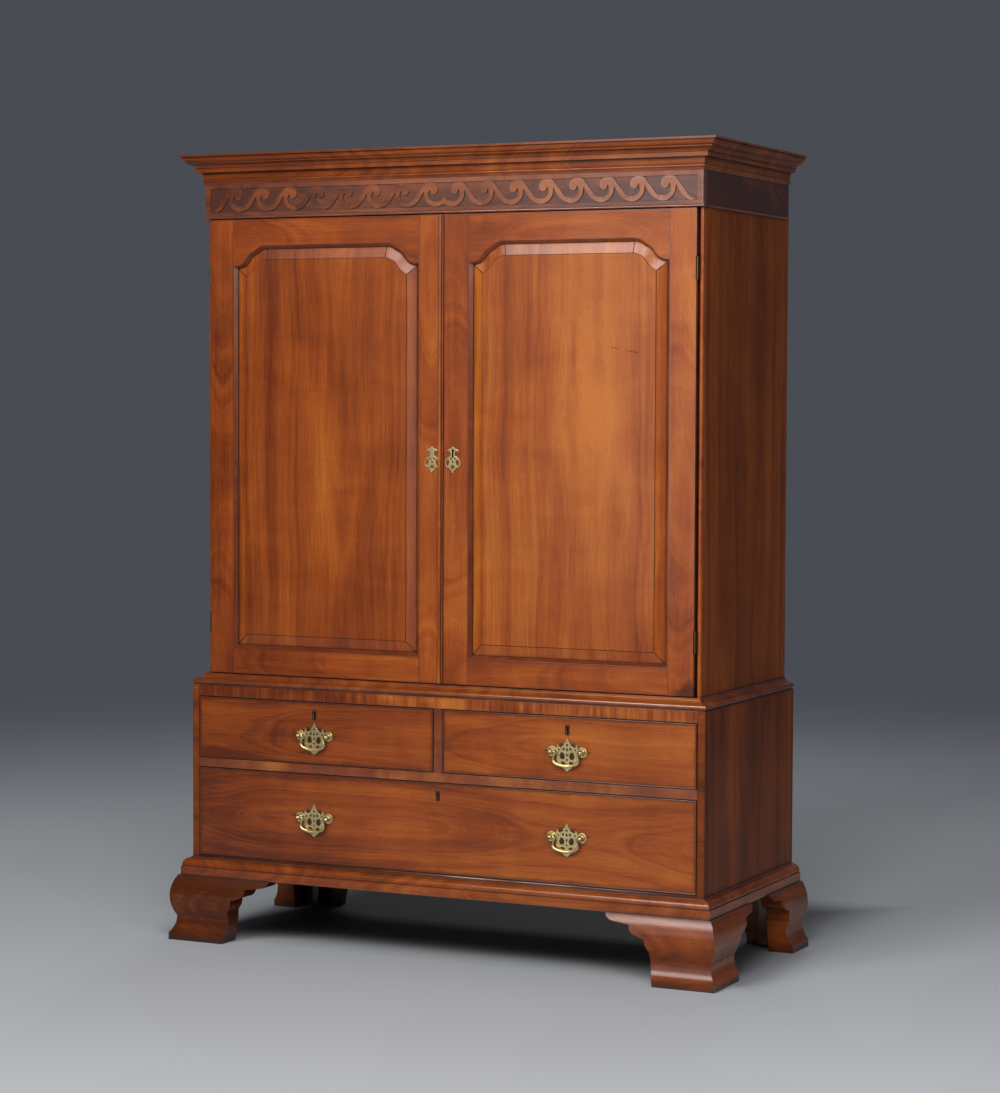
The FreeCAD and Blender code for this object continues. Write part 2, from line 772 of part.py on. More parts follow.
BLOCK_FRONT = f"({FRONT} + Size.base_side)"
BLOCK_BACK = f"({BACK} - Size.back_bracket)"
front_block = foot_block("foot_front_block", (BLOCK_FRONT, f"{BLOCK_FRONT} + Size.foot_block"))
back_block = foot_block("foot_back_block", (f"{BLOCK_BACK} - Size.foot_block", BLOCK_BACK))
front_foot = [across.body, along.body, front_block]
back_foot = [rear.body, plain.body, back_block]
node("foot_front_right", *front_foot)
node("foot_front_left", *[mirror(f"{piece.Name}_left", piece) for piece in front_foot])
node("foot_back_right", *back_foot)
node("foot_back_left", *[mirror(f"{piece.Name}_left", piece) for piece in back_foot])

# The waist moulding, on the top edge of the base, into which the cupboard is set down.

WAIST_IN = "Size.upper_inset"
WAIST_FACE = f"({FRONT} + {WAIST_IN})"
NOSE_LOW = f"({BASE_TOP} + Size.waist_quirk)"
NOSE_TOP = f"({NOSE_LOW} + Size.waist_nose)"
waist_section = [
    ("0", BASE_TOP),
    (f"{WAIST_IN} - Size.waist_quirk", BASE_TOP),
    (f"{WAIST_IN} - Size.waist_quirk", NOSE_LOW, "Size.waist_nose_radius"),
    (f"{WAIST_IN} - Size.waist_quirk", NOSE_TOP, "-Size.waist_hollow_radius"),
    ("Size.waist_ledge", f"{UPPER_FLOOR} - Size.waist_fillet"),
    ("Size.waist_ledge", UPPER_FLOOR),
    ("0", UPPER_FLOOR),
]
node("waist_moulding", *moulding(
    "waist", UPPER_HALF, WAIST_FACE, BACK, WAIST_IN, waist_section,
    inner=f"({UPPER_FRONT}) - ({WAIST_FACE})",
))

# The cupboard carcase.

upper_right = Worked("upper_side_right")
upper_right.pad("plan", [[
    (UPPER_INNER, UPPER_FRONT),
    (f"{UPPER_HALF} - Size.side_arris", UPPER_FRONT, "Size.side_arris"),
    (UPPER_HALF, f"{UPPER_FRONT} + Size.side_arris"),
    (UPPER_HALF, BACK),
    (UPPER_INNER, BACK),
]], BASE_TOP, UPPER_TOP)
node("upper_side_right", upper_right.body)
node("upper_side_left", mirror("upper_side_left", upper_right.body))
WITHIN_UPPER = (f"-{UPPER_INNER}", UPPER_INNER)
UPPER_DEPTH = (UPPER_FRONT, BASE_BACK)
node("upper_top_board", board(
    "upper_top", WITHIN_UPPER, UPPER_DEPTH, (f"{UPPER_TOP} - Size.board", UPPER_TOP)
))
node("upper_bottom_board", board(
    "upper_bottom", WITHIN_UPPER, UPPER_DEPTH, (f"{UPPER_FLOOR} - Size.board", UPPER_FLOOR)
))
node("upper_back_boards", *back_boards("upper_back", UPPER_INNER, BASE_TOP, UPPER_TOP, 7))

# The frieze: a front board with a sunk field, two returns, a back board and a bead below.

frieze = Worked("frieze_front")
FRIEZE_BACK = f"({FRIEZE_FACE} + Size.frieze_board)"
frieze.pad(
    "front",
    [rectangle(f"-{UPPER_HALF}", UPPER_HALF, UPPER_TOP, TOTAL)],
    FRIEZE_FACE,
    FRIEZE_BACK,
)
FIELD_HALF = f"({UPPER_HALF} - Size.frieze_border_end)"
FIELD_LOW = f"({UPPER_TOP} + Size.frieze_bead + Size.frieze_border_low)"
FIELD_TOP = f"({FRIEZE_TOP} - Size.frieze_border_top)"
frieze.pocket(
    "front",
    [rectangle(f"-{FIELD_HALF}", FIELD_HALF, FIELD_LOW, FIELD_TOP)],
    FRIEZE_FACE,
    f"{FRIEZE_FACE} + Size.frieze_sink",
)
frieze_return = board(
    "frieze_return_right", (UPPER_INNER, UPPER_HALF), (FRIEZE_BACK, BACK), (UPPER_TOP, TOTAL)
)
BEAD_TOP = f"({UPPER_TOP} + Size.frieze_bead)"
bead_section = [
    ("0", UPPER_TOP),
    ("Size.frieze_bead_reach / 3", UPPER_TOP, f"Size.frieze_bead * {NOSE}"),
    ("Size.frieze_bead_reach / 3", BEAD_TOP),
    ("0", BEAD_TOP),
]
node(
    "frieze_boards",
    frieze.body,
    frieze_return,
    mirror("frieze_return_left", frieze_return),
    board("frieze_back", WITHIN_UPPER, (BASE_BACK, BACK), (UPPER_TOP, TOTAL)),
    *moulding(
        "frieze_bead", UPPER_HALF, FRIEZE_FACE, BACK, "Size.frieze_bead_reach", bead_section
    ),
)

# The running scroll carved on the frieze. It starts from a small arch in the middle and breaks
# towards it from both ends in waves; each wave is its own solid here.

# One wave, clockwise from the trough on its left: shares of the pitch from its crest, shares of
# the height of the sunk field, and the radius of each curve as a share of that height.
WAVE = [
    (-0.215, 0.013),
    (-0.215, 0.225, 0.32),
    (0.057, 0.437, 0.27),
    (0.0, 0.706),
    (-0.019, 0.605, -0.135),
    (-0.129, 0.509, -0.202),
    (-0.255, 0.756, -0.27),
    (-0.025, 0.99),
    (0.114, 0.99, -0.27),
    (0.253, 0.86),
    (0.506, 0.44, 0.385),
    (0.785, 0.225),
    (0.785, 0.013, -0.756),
    (0.354, 0.353),
    (0.215, 0.647),
    (0.19, 0.37, -0.545),
]
# The last wave runs out to a tail along the lower border, in place of its trough.
TROUGH = slice(10, 13)
TAIL = [(0.506, 0.44, 0.756), (0.872, 0.03), (0.66, 0.013, -0.756)]
TAIL_END = TAIL[1][0]
# Half of the arch: shares of its half width and of the height of the field.
ARCH = [(0.0, 0.395, 0.37), (1.0, 0.225), (1.0, 0.013, -0.756), (0.0, 0.134)]
WAVES = 8
PITCH = f"(({FIELD_HALF} - Size.scroll_first - Size.scroll_end_gap) / {WAVES - 1 + TAIL_END})"
ARCH_HALF = f"(Size.scroll_first + {PITCH} * {WAVE[0][0]})"


def carved(name, crest, width, shares):
    """One solid of the scroll, standing on the bottom of the sunk field."""
    height = f"({FIELD_TOP} - {FIELD_LOW})"
    outline = []
    for across, up, *radius in shares:
        spot = (f"{crest} + {width} * {across}", f"{FIELD_LOW} + {height} * {up}")
        outline.append(spot + tuple(f"{height} * ({share})" for share in radius))
    floor = f"({FRIEZE_FACE} + Size.frieze_sink)"
    piece = Worked(name)
    return piece.pad("front", [outline], f"{floor} - Size.scroll_relief", floor).body


waves = []
for index in range(WAVES):
    crest = f"(Size.scroll_first + {PITCH} * {index})"
    shares = list(WAVE)
    if index == WAVES - 1:
        shares[TROUGH] = TAIL
    wave = carved(f"wave_{index + 1}", crest, PITCH, shares)
    waves += [wave, mirror(f"wave_{index + 1}_left", wave)]
other_half = [(-ARCH[2][0], ARCH[2][1]), (-ARCH[1][0], ARCH[1][1], ARCH[0][2])]
arch = [*ARCH[:3], (*ARCH[3], ARCH[2][2]), *other_half]
node("frieze_scroll", carved("wave_arch", "0", ARCH_HALF, arch), *waves)

# The cornice.


def drop(name):
    """A height counted down from the top of the cornice."""
    return f"({TOTAL} - Size.{name})"


cornice_section = [
    ("0", FRIEZE_TOP),
    ("Size.bed_bead_reach / 3", FRIEZE_TOP),
    ("Size.bed_bead_reach", drop("bed_bead_foot_drop"), "Size.bed_bead_radius"),
    ("Size.bed_foot_reach", drop("bed_foot_drop")),
    ("Size.bed_reach", drop("fascia_foot_drop")),
    ("Size.fascia_reach", drop("fascia_foot_drop")),
    ("Size.fascia_reach", drop("cove_foot_drop")),
    ("Size.cove_foot_reach", drop("cove_foot_drop"), "-Size.cornice_cove_radius"),
    ("Size.ovolo_foot_reach", drop("cove_top_drop")),
    ("Size.ovolo_foot_reach", drop("ovolo_foot_drop"), "Size.cornice_ovolo_radius"),
    ("Size.ovolo_top_reach", drop("cornice_fillet")),
    ("Size.cornice_reach", drop("cornice_fillet")),
    ("Size.cornice_reach", TOTAL),
    ("0", TOTAL),
]
node("cornice_moulding", *moulding(
    "cornice", UPPER_HALF, FRIEZE_FACE, BACK, "Size.cornice_reach", cornice_section
))
CORNICE_BOARD_TOP = f"({TOTAL} - Size.cornice_board_sink)"
node("cornice_top_board", board(
    "cornice_top",
    WITHIN_UPPER,
    (FRIEZE_BACK, BASE_BACK),
    (f"{CORNICE_BOARD_TOP} - Size.cornice_board", CORNICE_BOARD_TOP),
))

# Beads planted on the cupboard's front edges, with the hinges let into them. Each hinge's pin
# is riveted into the leaf on the cupboard.

BEAD_FRONT = f"({DOOR_FACE} + Size.edge_bead_reach)"
AXIS_X = f"({DOOR_HALF} + Size.edge_bead_gap / 2)"
AXIS_Y = f"({DOOR_FACE} + Size.hinge_axis_depth)"
KNUCKLE = "(Size.edge_bead_gap / 2 + Size.hinge_leaf)"
LEAF_FRONT = f"({AXIS_Y} + {KNUCKLE} + Size.hinge_knuckle_gap)"
LEAF_BACK = f"({AXIS_Y} + Size.hinge_leaf_width)"
HINGES = (f"({DOOR_TOP} - Size.hinge_below_top)", f"({DOOR_LOW} + Size.hinge_above_foot)")
HINGE_HALF = "(Size.hinge_length / 2)"
edge_bead = Worked("edge_bead_right")
edge_bead.pad("plan", [[
    (BEAD_IN, UPPER_FRONT),
    (BEAD_OUT, UPPER_FRONT),
    (BEAD_OUT, f"{BEAD_FRONT} + Size.edge_bead / 2", f"-Size.edge_bead * {NOSE}"),
    (BEAD_IN, f"{BEAD_FRONT} + Size.edge_bead / 2"),
]], UPPER_FLOOR, UPPER_TOP)
for height in HINGES:
    edge_bead.pocket(
        "plan",
        [rectangle(
            f"{BEAD_IN} - {PAST}",
            f"{BEAD_IN} + Size.hinge_leaf + Size.hinge_recess_fit",
            f"{BEAD_FRONT} - {PAST}",
            f"{LEAF_BACK} + Size.hinge_recess_fit",
        )],
        f"{height} - {HINGE_HALF} - Size.hinge_recess_fit",
        f"{height} + {HINGE_HALF} + Size.hinge_recess_fit",
    )
node("door_edge_beads", edge_bead.body, mirror("edge_bead_left", edge_bead.body))


def leaf(name, centre, x, knuckles):
    """A hinge leaf let into an edge, with the knuckles that it carries round the axis."""
    piece = Worked(name)
    bottom = f"({centre} - {HINGE_HALF})"
    top = f"({centre} + {HINGE_HALF})"
    piece.pad("plan", [rectangle(*x, LEAF_FRONT, LEAF_BACK)], bottom, top)
    third = "(Size.hinge_length / 3)"
    for index in knuckles:
        low = f"({bottom} + {third} * {index})"
        high = f"({low} + {third} - Size.hinge_knuckle_gap)"
        arm = rectangle(*x, AXIS_Y, f"{LEAF_FRONT} + Size.hinge_leaf")
        piece.pad("plan", [arm], low, high)
        piece.pad("plan", [facets(AXIS_X, AXIS_Y, KNUCKLE)], low, high)
    return piece


case_leaves = []
door_leaves = []
for number, height in enumerate(HINGES, start=1):
    ends = (f"{height} - {HINGE_HALF}", f"{height} + {HINGE_HALF}")
    case_x = (BEAD_IN, f"{BEAD_IN} + Size.hinge_leaf")
    fixed = leaf(f"case_leaf_{number}", height, case_x, (1,))
    fixed.pad("plan", [("circle", AXIS_X, AXIS_Y, "Size.hinge_pin_radius")], *ends)
    case_leaves.append(fixed.body)
    door_x = (f"{DOOR_HALF} - Size.hinge_leaf", DOOR_HALF)
    free = leaf(f"door_leaf_{number}", height, door_x, (0, 2))
    bore = ("circle", AXIS_X, AXIS_Y, "Size.hinge_pin_radius + Size.hinge_pin_fit")
    free.pocket("plan", [bore], f"{ends[0]} - {PAST}", f"{ends[1]} + {PAST}")
    door_leaves.append(free.body)
left_leaves = [mirror(f"{piece.Name}_left", piece) for piece in case_leaves]
node("hinge_case_leaves", *case_leaves, *left_leaves)
node("door_right_hinge_leaves", *door_leaves)
node("door_left_hinge_leaves", *[mirror(f"{piece.Name}_left", piece) for piece in door_leaves])

# The doors. Each is a mortised frame round a shaped opening with an ovolo planted inside it,
# and a panel whose bevels rise to a raised field of the same shape.

DOOR_IN = "(Size.door_meeting_gap / 2)"
OPENING = (f"({DOOR_IN} + Size.stile)", f"({DOOR_HALF} - Size.stile)")
OPENING_LOW = f"({DOOR_LOW} + Size.door_low_rail)"
OPENING_TOP = f"({DOOR_TOP} - Size.door_top_rail)"
REBATE_Y = f"({DOOR_FACE} + Size.rebate_depth)"
CORNER_POINTS = (
    ("", "hollow_drop", "-hollow_radius"),
    ("bump_end", "bump_drop", "bump_radius"),
    ("shoulder_end", "shoulder_drop", "shoulder_radius"),
    ("shoulder_start", "", ""),
)


def between(alias, share):
    """A size of the shaped corner, a share of the way from the opening to the raised field."""
    if not alias:
        return "0"
    return f"(Size.{alias} + (Size.field_{alias} - Size.{alias}) * ({share}))"


def shaped_top(share):
    """The upper edge of the opening from right to left, brought in by a share of the border."""
    inset = f"(Size.panel_border * ({share}))"
    left = f"({OPENING[0]} + {inset})"
    right = f"({OPENING[1]} - {inset})"
    top = f"({OPENING_TOP} - {inset})"
    edge = []
    for across, down, radius in CORNER_POINTS:
        spot = (f"{right} - {between(across, share)}", f"{top} - {between(down, share)}")
        if radius:
            sign = "-" if radius.startswith("-") else ""
            spot += (f"{sign}{between(radius.lstrip('-'), share)}",)
        edge.append(spot)
    radii = [corner[2] for corner in edge[:-1]]
    for number, (across, down, _) in enumerate(reversed(CORNER_POINTS)):
        spot = (f"{left} + {between(across, share)}", f"{top} - {between(down, share)}")
        if number < len(radii):
            spot += (radii[-1 - number],)
        edge.append(spot)
    return edge


def shaped_outline(share):
    """The whole outline of the opening, brought in by a share of the border."""
    inset = f"(Size.panel_border * ({share}))"
    low = f"({OPENING_LOW} + {inset})"
    foot = [(f"{OPENING[0]} + {inset}", low), (f"{OPENING[1]} - {inset}", low)]
    return foot + shaped_top(share)


def stile(name, x, rebated_low):
    """An upright of a door frame, rebated behind on the side of the panel."""
    low, high = x
    if rebated_low:
        section = [
            (low, DOOR_FACE), (high, DOOR_FACE), (high, DOOR_BACK),
            (f"{low} + Size.rebate_width", DOOR_BACK),
            (f"{low} + Size.rebate_width", REBATE_Y), (low, REBATE_Y),
        ]
    else:
        section = [
            (low, DOOR_FACE), (high, DOOR_FACE), (high, REBATE_Y),
            (f"{high} - Size.rebate_width", REBATE_Y),
            (f"{high} - Size.rebate_width", DOOR_BACK), (low, DOOR_BACK),
        ]
    piece = Worked(name)
    return piece.pad("plan", [section], DOOR_LOW, DOOR_TOP)


def hinge_stile():
    """The right door's outer upright, with a recess for each hinge."""
    piece = stile("door_hinge_stile", (OPENING[1], DOOR_HALF), True)
    for height in HINGES:
        piece.pocket(
            "plan",
            [rectangle(
                f"{AXIS_X} - {KNUCKLE} - Size.hinge_recess_fit",
                f"{DOOR_HALF} + {PAST}",
                f"{DOOR_FACE} - {PAST}",
                f"{LEAF_BACK} + Size.hinge_recess_fit",
            )],
            f"{height} - {HINGE_HALF} - Size.hinge_recess_fit",
            f"{height} + {HINGE_HALF} + Size.hinge_recess_fit",
        )
    return piece.body


DOOR_LOCK_X = (DOOR_IN, f"({DOOR_IN} + Size.door_lock_width)")
DOOR_LOCK_Y = (f"({DOOR_BACK} - Size.lock_depth)", DOOR_BACK)
DOOR_LOCK_LOW = f"({DOOR_KEYHOLE} - Size.door_lock_fall)"
DOOR_LOCK_Z = (DOOR_LOCK_LOW, f"({DOOR_LOCK_LOW} + Size.door_lock_height)")
DOOR_BOLT_Y = f"({DOOR_BACK} - Size.lock_depth / 2)"
DOOR_BOLT_Z = f"({DOOR_KEYHOLE} - Size.bolt_width)"


def meeting_stile_right():
    """The right door's inner upright, with the lock's recess and keyhole."""
    piece = stile("door_right_meeting_stile", (DOOR_IN, OPENING[0]), False)
    piece.pocket(
        "front",
        [rectangle(f"{DOOR_LOCK_X[0]} - {PAST}", DOOR_LOCK_X[1], *DOOR_LOCK_Z)],
        DOOR_LOCK_Y[0],
        f"{DOOR_LOCK_Y[1]} + {PAST}",
    )
    hole = keyhole("Size.door_keyhole_inset", DOOR_KEYHOLE)
    piece.pocket("front", [hole], f"{DOOR_FACE} - {PAST}", f"{DOOR_LOCK_Y[0]} + {PAST}")
    return piece.body


def meeting_stile_left():
    """The left door's inner upright, with the mortise that the lock's bolt shoots into."""
    piece = stile("door_left_meeting_stile", (f"-{OPENING[0]}", f"-{DOOR_IN}"), True)
    half_depth = "(Size.bolt_depth / 2 + Size.mortise_fit)"
    half_width = "(Size.bolt_width / 2 + Size.mortise_fit)"
    piece.pocket(
        "side",
        [rectangle(
            f"{DOOR_BOLT_Y} - {half_depth}",
            f"{DOOR_BOLT_Y} + {half_depth}",
            f"{DOOR_BOLT_Z} - {half_width}",
            f"{DOOR_BOLT_Z} + {half_width}",
        )],
        f"-{DOOR_IN} - Size.bolt_throw",
        f"-{DOOR_IN} + {PAST}",
    )
    return piece.body


def top_rail():
    """The upper rail, whose lower edge makes the shaped corners of the opening."""
    piece = Worked("door_top_rail")
    piece.pad(
        "front",
        [shaped_top("0") + [(OPENING[0], DOOR_TOP), (OPENING[1], DOOR_TOP)]],
        DOOR_FACE,
        REBATE_Y,
    )
    behind = rectangle(
        f"{OPENING[0]} - Size.rebate_width",
        f"{OPENING[1]} + Size.rebate_width",
        f"{OPENING_TOP} + Size.rebate_width",
        DOOR_TOP,
    )
    piece.pad("front", [behind], REBATE_Y, DOOR_BACK)
    return piece.body


def low_rail():
    """The lower rail."""
    piece = Worked("door_low_rail")
    piece.pad("front", [rectangle(*OPENING, DOOR_LOW, OPENING_LOW)], DOOR_FACE, REBATE_Y)
    behind = rectangle(
        f"{OPENING[0]} - Size.rebate_width",
        f"{OPENING[1]} + Size.rebate_width",
        DOOR_LOW,
        f"{OPENING_LOW} - Size.rebate_width",
    )
    piece.pad("front", [behind], REBATE_Y, DOOR_BACK)
    return piece.body


def ovolo():
    """The moulding planted inside the frame, in four lengths mitred at its square corners."""
    edge = "Size.ovolo_edge / Size.panel_border"
    inner = "Size.ovolo_width / Size.panel_border"
    ring = Worked("door_ovolo")
    ring.pad("front", [shaped_outline("0"), shaped_outline(inner)], DOOR_FACE, REBATE_Y)
    ring.loft(
        "SubtractiveLoft", "front",
        shaped_outline(edge), DOOR_FACE,
        shaped_outline(inner), f"{DOOR_FACE} + Size.ovolo_drop",
    )
    left, right = OPENING
    wide = f"(({right} - {left}) / 2)"
    middle = f"(({left} + {right}) / 2)"
    split = f"({OPENING_TOP} - Size.hollow_drop - Size.ovolo_width)"
    quarters = {
        "low": [(left, OPENING_LOW), (right, OPENING_LOW), (middle, f"{OPENING_LOW} + {wide}")],
        "left": [
            (left, OPENING_LOW), (middle, f"{OPENING_LOW} + {wide}"), (middle, split), (left, split),
        ],
        "right": [
            (right, split), (middle, split), (middle, f"{OPENING_LOW} + {wide}"),
            (right, OPENING_LOW),
        ],
        "top": rectangle(left, right, split, OPENING_TOP),
    }
    lengths = []
    for name, outline in quarters.items():
        share = Worked(f"door_ovolo_{name}_share")
        share.pad("front", [outline], DOOR_FACE, REBATE_Y)
        length = doc.addObject("Part::Common", f"door_ovolo_{name}")
        length.Base = ring.body
        length.Tool = share.body
        lengths.append(length)
    return lengths


def panel():
    """The fielded panel: a slab in the rebates, bevels and a raised field."""
    piece = Worked("door_panel")
    slab = rectangle(
        f"{OPENING[0]} - Size.rebate_width + Size.panel_fit",
        f"{OPENING[1]} + Size.rebate_width - Size.panel_fit",
        f"{OPENING_LOW} - Size.rebate_width + Size.panel_fit",
        f"{OPENING_TOP} + Size.rebate_width - Size.panel_fit",
    )
    piece.pad("front", [slab], REBATE_Y, f"{REBATE_Y} + Size.panel_slab")
    edge = "(Size.ovolo_width + Size.panel_fit) / Size.panel_border"
    bevel_low = f"({DOOR_FACE} + Size.panel_bevel_drop)"
    bevel_top = f"({bevel_low} - Size.panel_bevel_rise)"
    piece.pad("front", [shaped_outline(edge)], bevel_low, REBATE_Y)
    piece.loft(
        "AdditiveLoft", "front", shaped_outline(edge), bevel_low, shaped_outline("1"), bevel_top
    )
    piece.pad("front", [shaped_outline("1")], f"{bevel_top} - Size.panel_field_rise", bevel_top)
    return piece.body


def meeting_bead():
    """The bead planted down the left door's meeting edge."""
    inner = f"(-{DOOR_IN} - Size.meeting_bead_inset)"
    outer = f"({inner} - Size.meeting_bead)"
    shoulder = f"({DOOR_FACE} - Size.meeting_bead_reach + Size.meeting_bead / 2)"
    piece = Worked("door_meeting_bead")
    piece.pad("plan", [[
        (outer, DOOR_FACE),
        (inner, DOOR_FACE),
        (inner, shoulder, f"-Size.meeting_bead * {NOSE}"),
        (outer, shoulder),
    ]], DOOR_LOW, DOOR_TOP)
    return piece.body


right_frame = [hinge_stile(), top_rail(), low_rail(), *ovolo()]
left_frame = [mirror(f"{piece.Name}_left", piece) for piece in right_frame]
node("door_right_frame", *right_frame, meeting_stile_right())
node("door_left_frame", *left_frame, meeting_stile_left(), meeting_bead())
right_panel = panel()
node("door_right_panel", right_panel)
node("door_left_panel", mirror("door_left_panel", right_panel))


def bolt_room(axis_ranges, fit):
    """The same three ranges widened by a fit all round."""
    return [(f"{low} - {fit}", f"{high} + {fit}") for low, high in axis_ranges]


bolt_start = f"({DOOR_IN} + Size.bolt_sink)"
door_bolt = [
    (bolt_start, f"({bolt_start} + Size.bolt_length)"),
    (f"({DOOR_BOLT_Y} - Size.bolt_depth / 2)", f"({DOOR_BOLT_Y} + Size.bolt_depth / 2)"),
    (f"({DOOR_BOLT_Z} - Size.bolt_width / 2)", f"({DOOR_BOLT_Z} + Size.bolt_width / 2)"),
]
room = bolt_room(door_bolt, "Size.bolt_fit")
room[0] = (f"{DOOR_IN} - {PAST}", room[0][1])
node("door_lock", cut(
    "door_lock_case",
    board("door_lock_body", DOOR_LOCK_X, DOOR_LOCK_Y, DOOR_LOCK_Z),
    board("door_lock_slot", *room),
))
node("door_lock_bolt", board("door_bolt", *door_bolt))

# The drawers.


def nosed(low, high):
    """The section of a cockbead between two edges, round at the front."""
    nose = f"({FRONT} - Size.cockbead_reach + Size.cockbead / 2)"
    back = f"({FRONT} + Size.cockbead_depth)"
    return [(back, low), (nose, low, f"-Size.cockbead * {NOSE}"), (nose, high), (back, high)]


def drawer_front(name, x, z, handles, centre):
    """A drawer front, rebated for its cockbead and cut for handles, lock and keyhole."""
    piece = Worked(f"{name}_front_board")
    step = f"({FRONT} + Size.cockbead_depth)"
    inner_face = f"({FRONT} + Size.drawer_front)"
    piece.pad("front", [rectangle(*x, *z)], step, inner_face)
    shown = rectangle(
        f"{x[0]} + Size.cockbead", f"{x[1]} - Size.cockbead",
        f"{z[0]} + Size.cockbead", f"{z[1]} - Size.cockbead",
    )
    piece.pad("front", [shown], FRONT, step)
    hole = "(Size.post_shank_radius + Size.post_shank_fit)"
    for handle_x, handle_z in handles:
        for side in ("-", "+"):
            post = facets(f"{handle_x} {side} Size.post_spacing / 2", handle_z, hole)
            piece.pocket("front", [post], f"{FRONT} - {PAST}", f"{inner_face} + {PAST}")
    lock = rectangle(
        f"{centre} - Size.lock_width / 2", f"{centre} + Size.lock_width / 2",
        f"{z[1]} - Size.lock_height", f"{z[1]} + {PAST}",
    )
    lock_front = f"{inner_face} - Size.lock_depth"
    piece.pocket("front", [lock], lock_front, f"{inner_face} + {PAST}")
    hole = keyhole(centre, f"{z[1]} - Size.drawer_keyhole_drop + Size.keyhole_height / 2")
    piece.pocket("front", [hole], f"{FRONT} - {PAST}", f"{lock_front} + {PAST}")
    level = Worked(f"{name}_cockbead_top")
    level.pad("side", [nosed(f"{z[1]} - Size.cockbead", z[1])], *x)
    under = Worked(f"{name}_cockbead_low")
    under.pad("side", [nosed(z[0], f"{z[0]} + Size.cockbead")], *x)
    beads = [level.body, under.body]
    between_beads = (f"{z[0]} + Size.cockbead", f"{z[1]} - Size.cockbead")
    for end, low in (("left", x[0]), ("right", f"({x[1]} - Size.cockbead)")):
        upright = Worked(f"{name}_cockbead_{end}")
        section = [
            (along, back) + tuple(radius)
            for back, along, *radius in nosed(low, f"{low} + Size.cockbead")
        ]
        section[1] = section[1][:2] + (f"Size.cockbead * {NOSE}",)
        upright.pad("plan", [section], *between_beads)
        beads.append(upright.body)
    node(f"{name}_front", piece.body, *beads)


def drawer_box(name, x, z):
    """The sides, back and bottom of a drawer."""
    low = f"({z[0]} - Size.drawer_fit + Size.drawer_side_lift)"
    high = f"({z[1]} - Size.drawer_side_drop)"
    inner_face = f"({FRONT} + Size.drawer_front)"
    end = f"({BASE_BACK} - Size.drawer_back_space)"
    outer = (f"({x[0]} + Size.drawer_side_fit)", f"({x[1]} - Size.drawer_side_fit)")
    inside = (f"({outer[0]} + Size.drawer_side)", f"({outer[1]} - Size.drawer_side)")
    floor = f"({low} + Size.drawer_bottom_lift)"
    floor_top = f"({floor} + Size.drawer_bottom)"
    back = (f"{end} - Size.drawer_side", end)
    back_height = (floor_top, f"{high} - Size.drawer_back_drop")
    depth = (inner_face, end)
    node(
        f"{name}_box",
        board(f"{name}_side_left", (outer[0], inside[0]), depth, (low, high)),
        board(f"{name}_side_right", (inside[1], outer[1]), depth, (low, high)),
        board(f"{name}_back", inside, back, back_height),
        board(f"{name}_bottom", inside, depth, (floor, floor_top)),
    )


def drawer_lock(name, centre, top):
    """The lock case in the top edge of a drawer front, and its bolt."""
    inner_face = f"({FRONT} + Size.drawer_front)"
    bolt_top = f"({top} - Size.bolt_sink)"
    bolt = [
        (f"({centre} - Size.bolt_width / 2)", f"({centre} + Size.bolt_width / 2)"),
        (f"({LOCK_Y} - Size.bolt_depth / 2)", f"({LOCK_Y} + Size.bolt_depth / 2)"),
        (f"({bolt_top} - Size.bolt_length)", bolt_top),
    ]
    slot = bolt_room(bolt, "Size.bolt_fit")
    slot[2] = (slot[2][0], f"{top} + {PAST}")
    case = board(
        f"{name}_lock_body",
        (f"{centre} - Size.lock_width / 2", f"{centre} + Size.lock_width / 2"),
        (f"{inner_face} - Size.lock_depth", inner_face),
        (f"{top} - Size.lock_height", top),
    )
    node(f"{name}_lock", cut(f"{name}_lock_case", case, board(f"{name}_lock_slot", *slot)))
    node(f"{name}_lock_bolt", board(f"{name}_bolt", *bolt))


def drawer(name, x, z, handles, centre):
    """A whole drawer between two pairs of edges."""
    drawer_front(name, x, z, handles, centre)
    drawer_box(name, x, z)
    drawer_lock(name, centre, z[1])


SHORT_X = (f"({DIVIDER_HALF} + Size.drawer_fit)", f"({BASE_INNER} - Size.drawer_fit)")
SHORT_Z = (f"({SHORT_LOW} + Size.drawer_fit)", f"({SHORT_TOP} - Size.drawer_fit)")
LONG_Z = (f"({SILL} + Size.drawer_fit)", f"({LONG_TOP} - Size.drawer_fit)")
LEFT_X = (f"-{SHORT_X[1]}", f"-{SHORT_X[0]}")
drawer("drawer_left", LEFT_X, SHORT_Z, [(f"-{HANDLE_X}", SHORT_HANDLE)], f"(-{HANDLE_X})")
drawer("drawer_right", SHORT_X, SHORT_Z, [(HANDLE_X, SHORT_HANDLE)], HANDLE_X)
drawer(
    "drawer_long",
    (f"-{SHORT_X[1]}", SHORT_X[1]),
    LONG_Z,
    [(f"-{HANDLE_X}", LONG_HANDLE), (HANDLE_X, LONG_HANDLE)],
    "0",
)

# The handles: a pierced plate, two ball posts that pass through the drawer front to a nut, and
# a crescent bail whose ends turn in the balls. One is made about X = 0, Z = 0 and set in place.

# Half of the plate's outline from the top point to the lower one, in shares of the half width
# and of the rise above or fall below the posts. The roundel behind the post is an arc.
PLATE_UPPER = [
    (0.0, 1.0), (0.12, 0.62), (0.19, 0.55), (0.18, 0.42), (0.27, 0.37), (0.335, 0.27),
    (0.40, 0.32), (0.485, 0.565), (0.54, 0.26),
]
PLATE_LOWER = [
    (0.52, -0.27), (0.545, -0.40), (0.47, -0.58), (0.25, -0.79), (0.19, -0.845), (0.0, -1.0),
]
